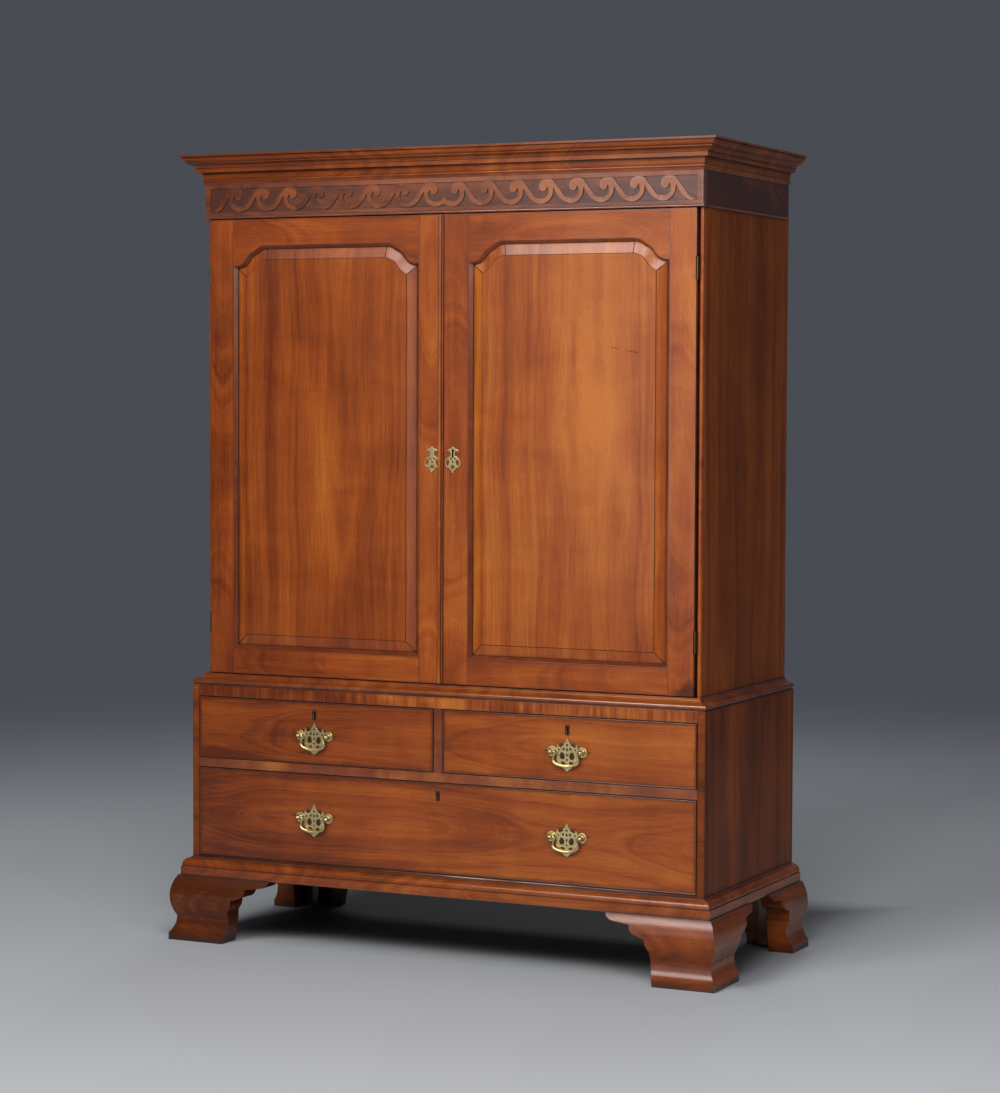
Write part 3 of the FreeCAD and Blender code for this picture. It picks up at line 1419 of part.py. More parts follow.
# The roundel's sides, and the degrees between its middle line and the plate on each side.
ROUNDEL_SIDES = 10
ROUNDEL_HALF = 150
PLATE_HOLES = [
    [(0.0, 0.56), (0.06, 0.46), (0.0, 0.36), (-0.06, 0.46)],
    [(0.0, 0.27), (0.055, 0.12), (0.0, -0.01), (-0.055, 0.12)],
    [(0.0, -0.08), (0.05, -0.165), (0.0, -0.25), (-0.05, -0.165)],
    [(0.0, -0.34), (0.05, -0.41), (0.0, -0.48), (-0.05, -0.41)],
]
PLATE_SIDE_HOLES = [
    [(0.10, 0.09), (0.245, 0.09), (0.17, 0.31)],
    [(0.36, 0.05), (0.46, 0.05), (0.435, 0.25)],
    [(0.17, -0.06), (0.29, -0.02), (0.38, -0.20), (0.33, -0.37), (0.17, -0.40), (0.10, -0.24)],
    [(0.08, -0.57), (0.14, -0.51), (0.31, -0.50), (0.27, -0.61), (0.14, -0.65)],
]


def plate_spot(share_u, share_v):
    """A point of the plate from its shares."""
    height = "Size.plate_rise" if share_v > 0 else "Size.plate_fall"
    return (f"Size.plate_half_width * {share_u}", f"{height} * {share_v}")


def placed(name, pieces, x, z):
    """Copies of pieces made about the middle, set at x and z."""
    copy = doc.addObject("Part::Compound", name)
    copy.Links = pieces
    copy.setExpression("Placement.Base.x", x)
    copy.setExpression("Placement.Base.z", z)
    return copy


def handle_plate():
    """The pierced brass plate."""
    upper = [plate_spot(*share) for share in PLATE_UPPER]
    lower = [plate_spot(*share) for share in PLATE_LOWER]
    roundel = []
    for corner in range(ROUNDEL_SIDES + 1):
        angle = math.radians(ROUNDEL_HALF * (1 - 2 * corner / ROUNDEL_SIDES))
        roundel.append((
            f"Size.post_spacing / 2 + Size.roundel_radius * {math.cos(angle):.4f}",
            f"Size.roundel_radius * {math.sin(angle):.4f}",
        ))
    outline = both_sides(upper + roundel + lower)
    holes = [[plate_spot(*share) for share in hole] for hole in PLATE_HOLES]
    for hole in PLATE_SIDE_HOLES:
        sided = [plate_spot(*share) for share in hole]
        holes += [sided, flipped(sided)]
    for side in ("-", ""):
        holes.append(facets(f"{side}Size.post_spacing / 2", "0", "Size.post_shank_radius"))
    piece = Worked("handle_plate")
    piece.pad("front", [outline] + holes, f"{FRONT} - Size.plate_thickness", FRONT)
    return piece.body


# A ball in shares of its radius: how far ahead of its centre, and out from the axis.
POST_BALL = [(-0.32, 1.0), (0.32, 1.0), (0.8, 0.6), (1.0, 0.2)]
POST_BALL_BACK = -0.85


def handle_post():
    """A ball post from its square nut behind the drawer front, bored for the bail."""
    def ring(radius):
        return facets("0", "0", radius)

    def ahead(share):
        return f"({FRONT} - Size.post_reach - Size.post_ball_radius * ({share}))"

    nut = "Size.nut_radius"
    nut_face = f"({FRONT} + Size.drawer_front)"
    plate_face = f"({FRONT} - Size.plate_thickness)"
    piece = Worked("post")
    piece.pad(
        "front", [rectangle(f"-{nut}", nut, f"-{nut}", nut)],
        nut_face, f"{nut_face} + Size.nut_thickness",
    )
    piece.pad("front", [ring("Size.post_shank_radius")], plate_face, nut_face)
    piece.pad("front", [ring("Size.post_neck_radius")], ahead(POST_BALL_BACK), plate_face)
    last = (ring("Size.post_neck_radius"), ahead(POST_BALL_BACK))
    for share, radius in POST_BALL:
        station = (ring(f"Size.post_ball_radius * {radius}"), ahead(share))
        piece.loft("AdditiveLoft", "front", *last, *station)
        last = station
    bore = rod(
        "post_bore",
        "Size.bail_pin_radius + Size.bail_pin_fit",
        f"-Size.post_ball_radius - {PAST}",
        f"{FRONT} - Size.post_reach",
        "0",
        f"Size.bail_pin_length + Size.bail_ball_gap + {PAST}",
    )
    bored = cut("post_bored", piece.body, bore)
    return placed("post_right", [bored], "Size.post_spacing / 2", "0")


# The bail's curves: the bow of its arms in shares of the bow and the drop, then its crescent in
# shares of the distance between the posts and the drop.
ARM_BOW = [(0.0, 0.19), (0.74, 0.34), (1.0, 0.50)]
CRESCENT_LOW = [(0.43, 0.645), (0.38, 0.77), (0.32, 0.84), (0.26, 0.865), (0.13, 0.96)]
CRESCENT_TOP = [(0.37, 0.585), (0.32, 0.65), (0.26, 0.68), (0.13, 0.765)]


def bail():
    """The crescent bail, thick in the middle, with a pin at each end."""
    arm_out = "(Size.post_spacing / 2 - Size.post_ball_radius - Size.bail_ball_gap)"
    arm_in = f"({arm_out} - Size.bail_arm)"
    top = "Size.bail_arm / 2"

    def arm(edge):
        line = [(edge, top)]
        for bow, fall in ARM_BOW:
            line.append((f"{edge} + Size.bail_bow * {bow}", f"-Size.bail_drop * {fall}"))
        return line

    def crescent(shares):
        return [(f"Size.post_spacing * {u}", f"-Size.bail_drop * {fall}") for u, fall in shares]

    outline = both_sides(
        [("0", "-Size.bail_drop")]
        + (arm(arm_out) + crescent(CRESCENT_LOW))[::-1]
        + arm(arm_in)
        + crescent(CRESCENT_TOP)
        + [("0", "-(Size.bail_drop - Size.bail_middle)")]
    )
    middle = f"({FRONT} - Size.post_reach)"
    half = "Size.bail_thickness / 2"
    piece = Worked("bail_crescent")
    piece.pad("front", [outline], f"{middle} - {half}", f"{middle} + {half}")
    radius = "Size.bail_pin_radius"
    start = f"({arm_out} - Size.bail_arm / 2)"
    length = "(Size.bail_pin_length + Size.bail_ball_gap + Size.bail_arm / 2)"
    pins = [
        rod("bail_pin_right", radius, start, middle, "0", length),
        rod("bail_pin_left", radius, f"-{start} - {length}", middle, "0", length),
    ]
    whole = doc.addObject("Part::MultiFuse", "bail")
    whole.Shapes = [piece.body] + pins
    return whole


post = handle_post()
handle = [handle_plate(), post, mirror("post_left", post)]
bail_piece = bail()
node("drawer_left_handle", placed("drawer_left_fittings", handle, f"-{HANDLE_X}", SHORT_HANDLE))
node("drawer_right_handle", placed("drawer_right_fittings", handle, HANDLE_X, SHORT_HANDLE))
node(
    "drawer_long_handles",
    placed("drawer_long_fittings_left", handle, f"-{HANDLE_X}", LONG_HANDLE),
    placed("drawer_long_fittings_right", handle, HANDLE_X, LONG_HANDLE),
)
node("drawer_left_bail", placed("left_bail", [bail_piece], f"-{HANDLE_X}", SHORT_HANDLE))
node("drawer_right_bail", placed("right_bail", [bail_piece], HANDLE_X, SHORT_HANDLE))
node("drawer_long_bail_left", placed("long_bail_left", [bail_piece], f"-{HANDLE_X}", LONG_HANDLE))
node("drawer_long_bail_right", placed("long_bail_right", [bail_piece], HANDLE_X, LONG_HANDLE))

# The pierced escutcheons at the doors' meeting edges. The left one has no keyhole, and its
# right side is cut off straight beside the meeting bead.

# Half of the outline from the top point to the lower drop, in shares of the half width and of
# the height from the middle.
ESCUTCHEON = [(0.0, 0.5), (0.12, 0.43), (0.22, 0.40), (0.45, 0.385), (0.80, 0.305), (0.45, 0.30),
              (0.30, 0.275), (0.27, 0.18), (0.32, 0.12), (0.48, 0.10), (0.82, 0.03), (0.98, -0.09),
              (0.93, -0.22), (0.68, -0.295), (0.43, -0.30), (0.31, -0.37), (0.14, -0.42),
              (0.16, -0.455), (0.0, -0.5)]
ESCUTCHEON_HOLES = [
    [(0.0, -0.03), (0.14, -0.09), (0.0, -0.15), (-0.14, -0.09)],
    [(0.0, -0.20), (0.30, -0.25), (0.14, -0.345), (-0.14, -0.345), (-0.30, -0.25)],
]
ESCUTCHEON_SIDE_HOLES = [
    [(0.20, 0.055), (0.42, 0.035), (0.26, -0.03), (0.12, 0.0)],
    [(0.55, 0.02), (0.86, -0.08), (0.80, -0.20), (0.62, -0.24), (0.36, -0.10)],
]


def escutcheon(name, x, keyed):
    """A pierced plate centred on x, its head level with the keyhole."""
    middle = f"({DOOR_KEYHOLE} - Size.escutcheon_keyhole_rise)"

    def spot(share_u, share_v):
        across = f"{x} + Size.escutcheon_width / 2 * {share_u}"
        return (across, f"{middle} + Size.escutcheon_height * {share_v}")

    other_half = [(-u, v) for u, v in reversed(ESCUTCHEON[1:-1])]
    outline = [spot(*share) for share in ESCUTCHEON + other_half]
    holes = [[spot(*share) for share in hole] for hole in ESCUTCHEON_HOLES]
    for hole in ESCUTCHEON_SIDE_HOLES:
        holes.append([spot(*share) for share in hole])
        holes.append([spot(-u, v) for u, v in hole])
    if keyed:
        holes.append(keyhole(x, DOOR_KEYHOLE))
    piece = Worked(name)
    face = (f"{DOOR_FACE} - Size.escutcheon_thickness", DOOR_FACE)
    piece.pad("front", [outline] + holes, *face)
    if not keyed:
        edge = f"(-{DOOR_IN} - Size.meeting_bead_inset - Size.meeting_bead)"
        over = f"({edge} + Size.escutcheon_width)"
        waste = rectangle(edge, over, f"{face[0]} - {PAST}", f"{face[1]} + {PAST}")
        low = f"{middle} - Size.escutcheon_height"
        high = f"{middle} + Size.escutcheon_height"
        piece.pocket("plan", [waste], low, high)
    return piece.body


node("door_right_escutcheon", escutcheon("door_right_plate", "Size.door_keyhole_inset", True))
LEFT_PLATE_X = "(-Size.door_keyhole_inset - Size.meeting_bead / 2)"
node("door_left_escutcheon", escutcheon("door_left_plate", LEFT_PLATE_X, False))

# The sliding trays, each on a pair of runners fixed to the cupboard's sides.

TRAY_X = f"({UPPER_INNER} - Size.tray_side_fit)"
TRAY_FRONT = f"({UPPER_FRONT} + Size.tray_front_fit)"
TRAY_BACK = f"({BASE_BACK} - Size.tray_back_fit)"
TRAYS = 4


def tray_low(index):
    """The underside of a tray, counted from the lowest."""
    return f"({UPPER_FLOOR} + Size.tray_first_lift + Size.tray_pitch * {index})"


def tray(index):
    """A tray with a front that dips between its ends."""
    name = f"tray_{index + 1}"
    low = tray_low(index)
    high = f"({low} + Size.tray_height)"
    dip = f"({high} - Size.tray_dip)"
    start = f"({TRAY_X} - Size.tray_dip_run)"
    run_out = f"({start} - Size.tray_dip_slope)"
    mid_x = f"({start} - Size.tray_dip_slope / 2)"
    mid_z = f"({high} - Size.tray_dip / 2)"
    curve = "Size.tray_dip_radius"
    front = Worked(f"{name}_front")
    front.pad("front", [[
        (f"-{TRAY_X}", low),
        (TRAY_X, low),
        (TRAY_X, high),
        (start, high, curve),
        (mid_x, mid_z, f"-{curve}"),
        (run_out, dip),
        (f"-{run_out}", dip, f"-{curve}"),
        (f"-{mid_x}", mid_z, curve),
        (f"-{start}", high),
        (f"-{TRAY_X}", high),
    ]], TRAY_FRONT, f"{TRAY_FRONT} + Size.tray_front")
    behind = f"({TRAY_FRONT} + Size.tray_front)"
    wall = f"({TRAY_X} - Size.tray_side)"
    side = board(f"{name}_side_right", (wall, TRAY_X), (behind, TRAY_BACK), (low, high))
    floor = f"({low} + Size.tray_bottom_lift)"
    floor_top = f"({floor} + Size.tray_bottom)"
    inside = (f"-{wall}", wall)
    back = (f"{TRAY_BACK} - Size.tray_side", TRAY_BACK)
    node(
        name,
        front.body,
        side,
        mirror(f"{name}_side_left", side),
        board(f"{name}_back", inside, back, (floor_top, high)),
        board(f"{name}_bottom", inside, (behind, TRAY_BACK), (floor, floor_top)),
    )


runners = []
for index in range(TRAYS):
    tray(index)
    strip = board(
        f"tray_runner_{index + 1}",
        (f"{UPPER_INNER} - Size.tray_runner", UPPER_INNER),
        (TRAY_FRONT, BASE_BACK),
        (f"{tray_low(index)} - Size.tray_runner", tray_low(index)),
    )
    runners += [strip, mirror(f"tray_runner_{index + 1}_left", strip)]
node("tray_runners", *runners)

# Check every object, then write one file for each node.

doc.recompute()
for item in doc.Objects:
    if "Invalid" in item.State or "Error" in item.State:
        raise RuntimeError(f"{item.Name} did not build: {item.State}")
os.makedirs("parts", exist_ok=True)
for whole in nodes:
    if whole.Shape.isNull() or not whole.Shape.isValid():
        raise RuntimeError(f"{whole.Label} has no valid shape")
    whole.Shape.exportStep(f"parts/{whole.Label}.step")
print(len(nodes), "nodes written")
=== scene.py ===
import math
import random

import bmesh
import bpy
from mathutils import Matrix, Vector


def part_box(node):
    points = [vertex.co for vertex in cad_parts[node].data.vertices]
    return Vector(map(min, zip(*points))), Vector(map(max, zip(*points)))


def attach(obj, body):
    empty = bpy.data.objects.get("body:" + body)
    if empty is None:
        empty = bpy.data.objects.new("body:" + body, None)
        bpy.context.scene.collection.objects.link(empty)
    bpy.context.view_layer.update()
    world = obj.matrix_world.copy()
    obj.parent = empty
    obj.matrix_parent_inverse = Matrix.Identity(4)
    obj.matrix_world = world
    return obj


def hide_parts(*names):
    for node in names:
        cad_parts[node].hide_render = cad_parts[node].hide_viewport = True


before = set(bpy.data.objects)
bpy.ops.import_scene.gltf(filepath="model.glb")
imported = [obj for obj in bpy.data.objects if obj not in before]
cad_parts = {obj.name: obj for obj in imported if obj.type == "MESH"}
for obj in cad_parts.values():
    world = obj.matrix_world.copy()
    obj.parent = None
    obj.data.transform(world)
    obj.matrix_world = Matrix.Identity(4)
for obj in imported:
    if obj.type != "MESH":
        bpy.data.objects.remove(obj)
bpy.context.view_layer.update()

# ------------------------------------------------------------------------------
# The ogee bracket feet: two mahogany brackets mitred at each corner, with a glue block behind
# them, planted under the base. They are the first boards to be planed and polished, so the ways
# of shaping a board, of figuring its wood and of ageing its polish are set down here.

FLAT_WITHIN = math.radians(0.6)
FACES_FRONT = -0.9
SHIFT_SPREAD, TONE_SPREAD = 9, 0.35


def solids_in(node):
    """The separate solids of one node, each as a list of triangles of corner places."""
    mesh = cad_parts[node].data
    places = [tuple(round(c, 7) for c in vertex.co) for vertex in mesh.vertices]
    solids, faces, open_edges = [], [], set()
    for polygon in mesh.polygons:
        corners = [places[i] for i in polygon.vertices]
        faces.append(corners)
        for edge in zip(corners, corners[1:] + corners[:1]):
            if edge[::-1] in open_edges:
                open_edges.discard(edge[::-1])
            else:
                open_edges.add(edge)
        if not open_edges:
            solids.append(faces)
            faces = []
    return solids


def welded(triangles):
    """One solid with its corners joined and its flat faces whole."""
    solid = bmesh.new()
    made = {}
    for corners in triangles:
        for corner in corners:
            if corner not in made:
                made[corner] = solid.verts.new(corner)
        if len(set(corners)) == 3:
            solid.faces.new([made[corner] for corner in corners])
    bmesh.ops.dissolve_limit(
        solid, angle_limit=FLAT_WITHIN, verts=solid.verts[:], edges=solid.edges[:])
    return solid


def as_mesh(whole, name, outwards=False):
    """A drawn shape as a mesh, with its faces turned outwards where that isn't sure."""
    if outwards:
        bmesh.ops.recalc_face_normals(whole, faces=whole.faces[:])
    mesh = bpy.data.meshes.new(name)
    whole.to_mesh(mesh)
    whole.free()
    return mesh


def grain_layers(whole):
    """The attributes of a board: three at the corners of its faces, and the faces' tone."""
    corners = whole.loops.layers.float_vector
    return (*(corners.new(label) for label in ("spot", "half", "shift")),
            whole.faces.layers.float.new("tone"))


def planed(name, node, along=None, tones=None, only=None, crossed=False, face_tone=None):
    """The boards of a node as one mesh, each with its own run of grain.

    The spot is a corner's place on the board, along the grain, across it and through it from
    its middle; half is half the board's size in the same order; no two boards share a shift.
    A tone lightens or darkens a board or a face, for its own colour and, on some boards, as
    painted light and shade. A crossed board's front edge shows grain that runs from side to side.
    """
    chance = random.Random(name)
    whole = bmesh.new()
    spot, half, shift, tone = grain_layers(whole)
    for number, triangles in enumerate(solids_in(node)):
        if only is not None and number not in only:
            continue
        solid = welded(triangles)
        low = [min(v.co[i] for v in solid.verts) for i in range(3)]
        high = [max(v.co[i] for v in solid.verts) for i in range(3)]
        order = sorted(range(3), key=lambda i: low[i] - high[i])
        way = along.get(number) if isinstance(along, dict) else along
        if way:
            order = ["xyz".index(way)] + [i for i in order if i != "xyz".index(way)]
        own_shift = [chance.uniform(0, SHIFT_SPREAD) for _ in range(3)]
        own_tone = chance.uniform(-TONE_SPREAD, TONE_SPREAD)
        if tones is not None:
            own_tone = tones.get(number, tones["rest"])
        copied = {v: whole.verts.new(v.co) for v in solid.verts}
        for face in solid.faces:
            new = whole.faces.new([copied[v] for v in face.verts])
            new[tone] = own_tone + (face_tone(face) if face_tone else 0)
            axes = [0, 2, 1] if crossed and face.normal.y < FACES_FRONT else order
            for loop in new.loops:
                loop[spot] = [loop.vert.co[a] - (low[a] + high[a]) / 2 for a in axes]
                loop[half] = [(high[a] - low[a]) / 2 for a in axes]
                loop[shift] = own_shift
        solid.free()
    return as_mesh(whole, name)


def placed(name, data):
    """A new object that stands in the scene."""
    made = bpy.data.objects.new(name, data)
    bpy.context.scene.collection.objects.link(made)
    return made


def plain_mesh(piece):
    """What a piece and all that shapes it come to, as one mesh."""
    graph = bpy.context.evaluated_depsgraph_get()
    return bpy.data.meshes.new_from_object(piece.evaluated_get(graph))


def finished(piece):
    """Give a piece its plain mesh and take away what shaped it."""
    mesh = plain_mesh(piece)
    piece.modifiers.clear()
    piece.data = mesh


def fitted(name, mesh, body, material, nodes=(), arris=0.0007, steps=2, sharp=35):
    """Put a mesh on its body, its arrises eased, in place of the nodes that it stands for."""
    mesh.materials.clear()
    mesh.materials.append(material)
    for polygon in mesh.polygons:
        polygon.use_smooth = True
    piece = placed(name, mesh)
    if arris:
        bevel = piece.modifiers.new("arris", "BEVEL")
        bevel.width = arris
        bevel.segments = steps
        bevel.limit_method = "ANGLE"
        bevel.angle_limit = math.radians(sharp)
        weight = piece.modifiers.new("flats", "WEIGHTED_NORMAL")
        weight.keep_sharp = True
        finished(piece)
    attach(piece, body)
    if nodes:
        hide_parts(*nodes)


class Wiring:
    """Lays the nodes of one shader. A value is a number, a colour or another node's output."""

    def __init__(self, tree):
        self.tree = tree

    def lay(self, kind, values=None, **settings):
        """One node, with its settings and what its inputs take."""
        made = self.tree.nodes.new(kind)
        for name, setting in settings.items():
            setattr(made, name, setting)
        for name, value in (values or {}).items():
            if isinstance(value, bpy.types.NodeSocket):
                self.tree.links.new(value, made.inputs[name])
            elif value is not None:
                made.inputs[name].default_value = value
        return made

    def do(self, operation, first, second=0.0, third=0.0, clamp=False):
        """A sum of up to three numbers."""
        return self.lay("ShaderNodeMath", {0: first, 1: second, 2: third},
                        operation=operation, use_clamp=clamp).outputs[0]

    def apart(self, first, second):
        """How far two numbers lie apart."""
        return self.do("ABSOLUTE", self.do("SUBTRACT", first, second))

    def axes(self, place):
        """The three numbers of a place."""
        return self.lay("ShaderNodeSeparateXYZ", {0: place}).outputs

    def scaled(self, place, factors):
        """A place stretched along each axis."""
        return self.lay("ShaderNodeVectorMath", {0: place, 1: factors},
                        operation="MULTIPLY").outputs[0]

    def noise(self, place, scale, detail=2.0, rough=0.5, bend=0.0):
        """Cloudy noise. Three scales in place of one draw it out along the axes."""
        if isinstance(scale, tuple):
            place, scale = self.scaled(place, scale), 1.0
        return self.lay("ShaderNodeTexNoise", {
            "Vector": place, "Scale": scale, "Detail": detail, "Roughness": rough,
            "Distortion": bend}).outputs[0]

    def spread(self, value, low, high, out_low=0.0, out_high=1.0, curve="LINEAR"):
        """A range of values stretched to another."""
        return self.lay("ShaderNodeMapRange", {
            "Value": value, "From Min": low, "From Max": high, "To Min": out_low,
            "To Max": out_high}, interpolation_type=curve).outputs[0]

    def ramp(self, value, stops):
        """Colours along a scale."""
        made = self.lay("ShaderNodeValToRGB", {"Fac": value})
        ladder = made.color_ramp.elements
        while len(ladder) < len(stops):
            ladder.new(0.5)
        for step, (place, colour) in zip(ladder, stops):
            step.position = place
            step.color = (*colour, 1)
        return made.outputs[0]

    def blend(self, share, first, second):
        """One colour laid over another."""
        made = self.lay("ShaderNodeMix", data_type="RGBA")
        for socket, value in zip((made.inputs[0], made.inputs[6], made.inputs[7]),
                                 (share, first, second)):
            if isinstance(value, bpy.types.NodeSocket):
                self.tree.links.new(value, socket)
            else:
                socket.default_value = (*value, 1) if isinstance(value, tuple) else value
        return made.outputs[2]

    def bump(self, height, strength, distance):
        """A normal from a height."""
        return self.lay("ShaderNodeBump", {
            "Height": height, "Strength": strength, "Distance": distance}).outputs[0]

    def finish(self, values):
        """The finish that a material shows."""
        surface = self.lay("ShaderNodeBsdfPrincipled", values)
        self.lay("ShaderNodeOutputMaterial", {"Surface": surface.outputs[0]})


NUMBER, ARROW = "NodeSocketFloat", "NodeSocketVector"


def new_group(name, takes, gives):
    """An empty shader group with named inputs and outputs."""
    group = bpy.data.node_groups.new(name, "ShaderNodeTree")
    for label, kind in takes:
        group.interface.new_socket(name=label, in_out="INPUT", socket_type=kind)
    for label in gives:
        group.interface.new_socket(name=label, in_out="OUTPUT", socket_type=NUMBER)
    start = group.nodes.new("NodeGroupInput").outputs
    end = group.nodes.new("NodeGroupOutput").inputs
    return group, Wiring(group), start, end


# The figure of a sawn board: growth bands round a heart that wanders through it, streaks along
# it, a mottle that lies across it, and open pores. Edge is how far in from its sides it is.
figure, wire, start, end = new_group(
    "sawn board",
    [("Spot", ARROW), ("Half", ARROW), ("Shift", ARROW), ("Heart", NUMBER), ("Slope", NUMBER),
     ("Aside", NUMBER), ("Bands", NUMBER), ("Mottle", NUMBER)],
    ["Shade", "Pores", "Height", "Edge"])
grain = wire.lay("ShaderNodeVectorMath", {0: start["Spot"], 1: start["Shift"]},
                 operation="ADD").outputs[0]
spot, half = wire.axes(start["Spot"]), wire.axes(start["Half"])
wander = wire.do("SUBTRACT", wire.noise(grain, (2.3, 7.0, 7.0)), 0.5)
depth = wire.do("SINE", wire.do("MULTIPLY", wire.axes(grain)[0], 5.2))
depth = wire.do("MULTIPLY_ADD", depth, start["Slope"], start["Heart"])
depth = wire.do("MULTIPLY_ADD", wander, 0.06, depth)
across = wire.do("ADD", spot[1], start["Aside"])
across = wire.do("MULTIPLY_ADD", wander, 0.05, across)
radius = wire.do("SQRT", wire.do("ADD", wire.do("MULTIPLY", across, across),
                                 wire.do("MULTIPLY", depth, depth)))
bands = wire.lay("ShaderNodeTexNoise", {
    "W": wire.do("MULTIPLY", radius, start["Bands"]), "Scale": 1.0, "Detail": 3.0,
    "Roughness": 0.6}, noise_dimensions="1D").outputs[0]
streaks = wire.noise(grain, (1.3, 34.0, 34.0), 3.0, 0.55)
threads = wire.noise(grain, (7.0, 240.0, 240.0), 3.0, 0.6)
fibres = wire.noise(grain, (22.0, 1100.0, 1100.0), 2.0, 0.6)
clouds = wire.noise(grain, (1.7, 6.5, 6.5), bend=0.4)
mottle = wire.noise(grain, (13.0, 5.0, 5.0), bend=0.5)
shade = 0.5
for part, weight in ((bands, 0.55), (streaks, 0.28), (threads, 0.24), (fibres, 0.32),
                     (clouds, 0.58)):
    shade = wire.do("MULTIPLY_ADD", wire.do("SUBTRACT", part, 0.5), weight, shade)
shade = wire.do("MULTIPLY_ADD", wire.do("SUBTRACT", mottle, 0.5), start["Mottle"], shade)
pores = wire.spread(wire.noise(grain, (75.0, 1700.0, 1700.0), 1.0, 0.4), 0.64, 0.74)
height = wire.do("MULTIPLY_ADD", fibres, 0.3, wire.do("MULTIPLY", pores, -1.0))
edge = wire.do("MINIMUM",
               wire.do("SUBTRACT", half[0], wire.do("ABSOLUTE", spot[0])),
               wire.do("SUBTRACT", half[1], wire.do("ABSOLUTE", spot[1])))
for name, value in (("Shade", shade), ("Pores", pores), ("Height", height), ("Edge", edge)):
    wire.tree.links.new(value, end[name])

# Two centuries on a polish: dirt and old wax in the quirks, darkened further there as painted
# shade, dark ends and edges where hands have been, cloudy handling over the faces, and short
# scuffs.
ageing, wire, start, end = new_group(
    "ageing",
    [("Place", ARROW), ("Openness", NUMBER), ("Edge", NUMBER), ("Reach", NUMBER)],
    ["Dirt and Shade", "Ends", "Handling", "Scuffs"])
cloud = wire.noise(start["Place"], 13.0, 3.0, 0.55)
# Dirt and painted shade: the less open a point is, the darker it is painted.
dirt_and_shade = wire.do("MULTIPLY", wire.spread(start["Openness"], 0.95, 0.5),
               wire.spread(cloud, 0.3, 0.6, 0.6, 1.0))
uneven = wire.spread(wire.noise(start["Place"], 21.0, 3.0, 0.6), 0.3, 0.7, 0.45, 1.55)
ends = wire.do("DIVIDE", start["Edge"], wire.do("MULTIPLY", start["Reach"], uneven))
ends = wire.spread(ends, 0.0, 1.0, 1.0, 0.0, "SMOOTHSTEP")
handling = wire.noise(start["Place"], 3.3, 4.0, 0.6, 0.4)
scuffs = wire.noise(wire.scaled(start["Place"], (9.0, 9.0, 40.0)), 3.0, 5.0, 0.7, 1.5)
scuffs = wire.spread(scuffs, 0.68, 0.76)
for name, value in (("Dirt and Shade", dirt_and_shade), ("Ends", ends), ("Handling", handling), ("Scuffs", scuffs)):
    wire.tree.links.new(value, end[name])


def new_material(name):
    """An empty material, its wiring, and where a point lies in the room."""
    material = bpy.data.materials.new(name)
    material.use_nodes = True
    material.node_tree.nodes.clear()
    wire = Wiring(material.node_tree)
    return material, wire, wire.lay("ShaderNodeTexCoord").outputs["Object"]


def aged(wire, place, crevice, edge, reach):
    """What age has done to a material, with dirt and painted shade in crevices of a given depth.
    """
    openness = wire.lay("ShaderNodeAmbientOcclusion", {"Distance": crevice}, samples=8)
    return wire.lay("ShaderNodeGroup", {
        "Place": place, "Openness": openness.outputs["AO"], "Edge": edge, "Reach": reach},
        node_tree=ageing).outputs


TONE_WEIGHT = 0.25
# Where the painted light runs from dark to light across the piece.
PAINTED_LIGHT_FROM, PAINTED_LIGHT_TO = -0.75, 0.30
EDGE_POLISH = 6.0


def wood(name, dark, middle, light, heart=0.06, slope=0.05, aside=0.0, bands=46.0, mottle=0.25,
         gloss=0.3, coat=0.12, shine=0.27, dirt_and_shade=0.95, crevice=0.014, ends=0.3, reach=0.010,
         painted_light_share=1.0, grime_and_shade=(0.014, 0.004, 0.002), marks=None):
    """A planed and finished wood, with its figure under its age."""
    material, wire, place = new_material(name)
    spot, half, shift, tone = (wire.lay("ShaderNodeAttribute", attribute_name=label).outputs
                               for label in ("spot", "half", "shift", "tone"))
    sawn = wire.lay("ShaderNodeGroup", {
        "Spot": spot["Vector"], "Half": half["Vector"], "Shift": shift["Vector"],
        "Heart": heart, "Slope": slope, "Aside": aside, "Bands": bands, "Mottle": mottle},
        node_tree=figure).outputs
    old = aged(wire, place, crevice, sawn["Edge"], reach)
    shade = wire.do("MULTIPLY_ADD", tone["Fac"], TONE_WEIGHT, sawn["Shade"])
    # Painted light: the wood is painted darker towards the left end and lighter towards the right,
    # as if the light fell more strongly on the right.
    painted_light = wire.spread(wire.axes(place)[0], PAINTED_LIGHT_FROM, PAINTED_LIGHT_TO, -0.13, 0.02)
    shade = wire.do("MULTIPLY_ADD", painted_light, painted_light_share, shade)
    colour = wire.ramp(shade, [(0.26, dark), (0.5, middle), (0.74, light)])
    colour = wire.blend(wire.do("MULTIPLY", sawn["Pores"], 0.75), colour, dark)
    cloudy = wire.spread(old["Handling"], 0.35, 0.7, 0.0, 0.3)
    colour = wire.blend(cloudy, colour, tuple(c * 0.5 for c in middle))
    worn = tuple(c * 0.32 for c in middle)
    colour = wire.blend(wire.do("MULTIPLY", old["Ends"], ends), colour, worn)
    if marks:
        colour = wire.blend(marks(wire, place), colour, grime_and_shade)
    # Dirt and painted shade in the crevices, in the grime colour.
    colour = wire.blend(wire.do("MULTIPLY", old["Dirt and Shade"], dirt_and_shade), colour, grime_and_shade)
    rough = gloss - 0.07
    for wear, weight in (("Handling", 0.14), ("Dirt and Shade", 0.25), ("Scuffs", 0.12)):
        rough = wire.do("MULTIPLY_ADD", old[wear], weight, rough)
    # Polish lies thicker along the edges and the mouldings, where the cloth pressed.
    pressed = wire.spread(sawn["Edge"], 0.001, 0.006, EDGE_POLISH, 0.0)
    wire.finish({
        "Base Color": colour, "Roughness": rough, "Specular IOR Level": shine,
        "Coat Weight": wire.do("MULTIPLY_ADD", pressed, coat, coat), "Coat Roughness": 0.16,
        "Normal": wire.bump(sawn["Height"], 0.1, 0.0004)})
    return material


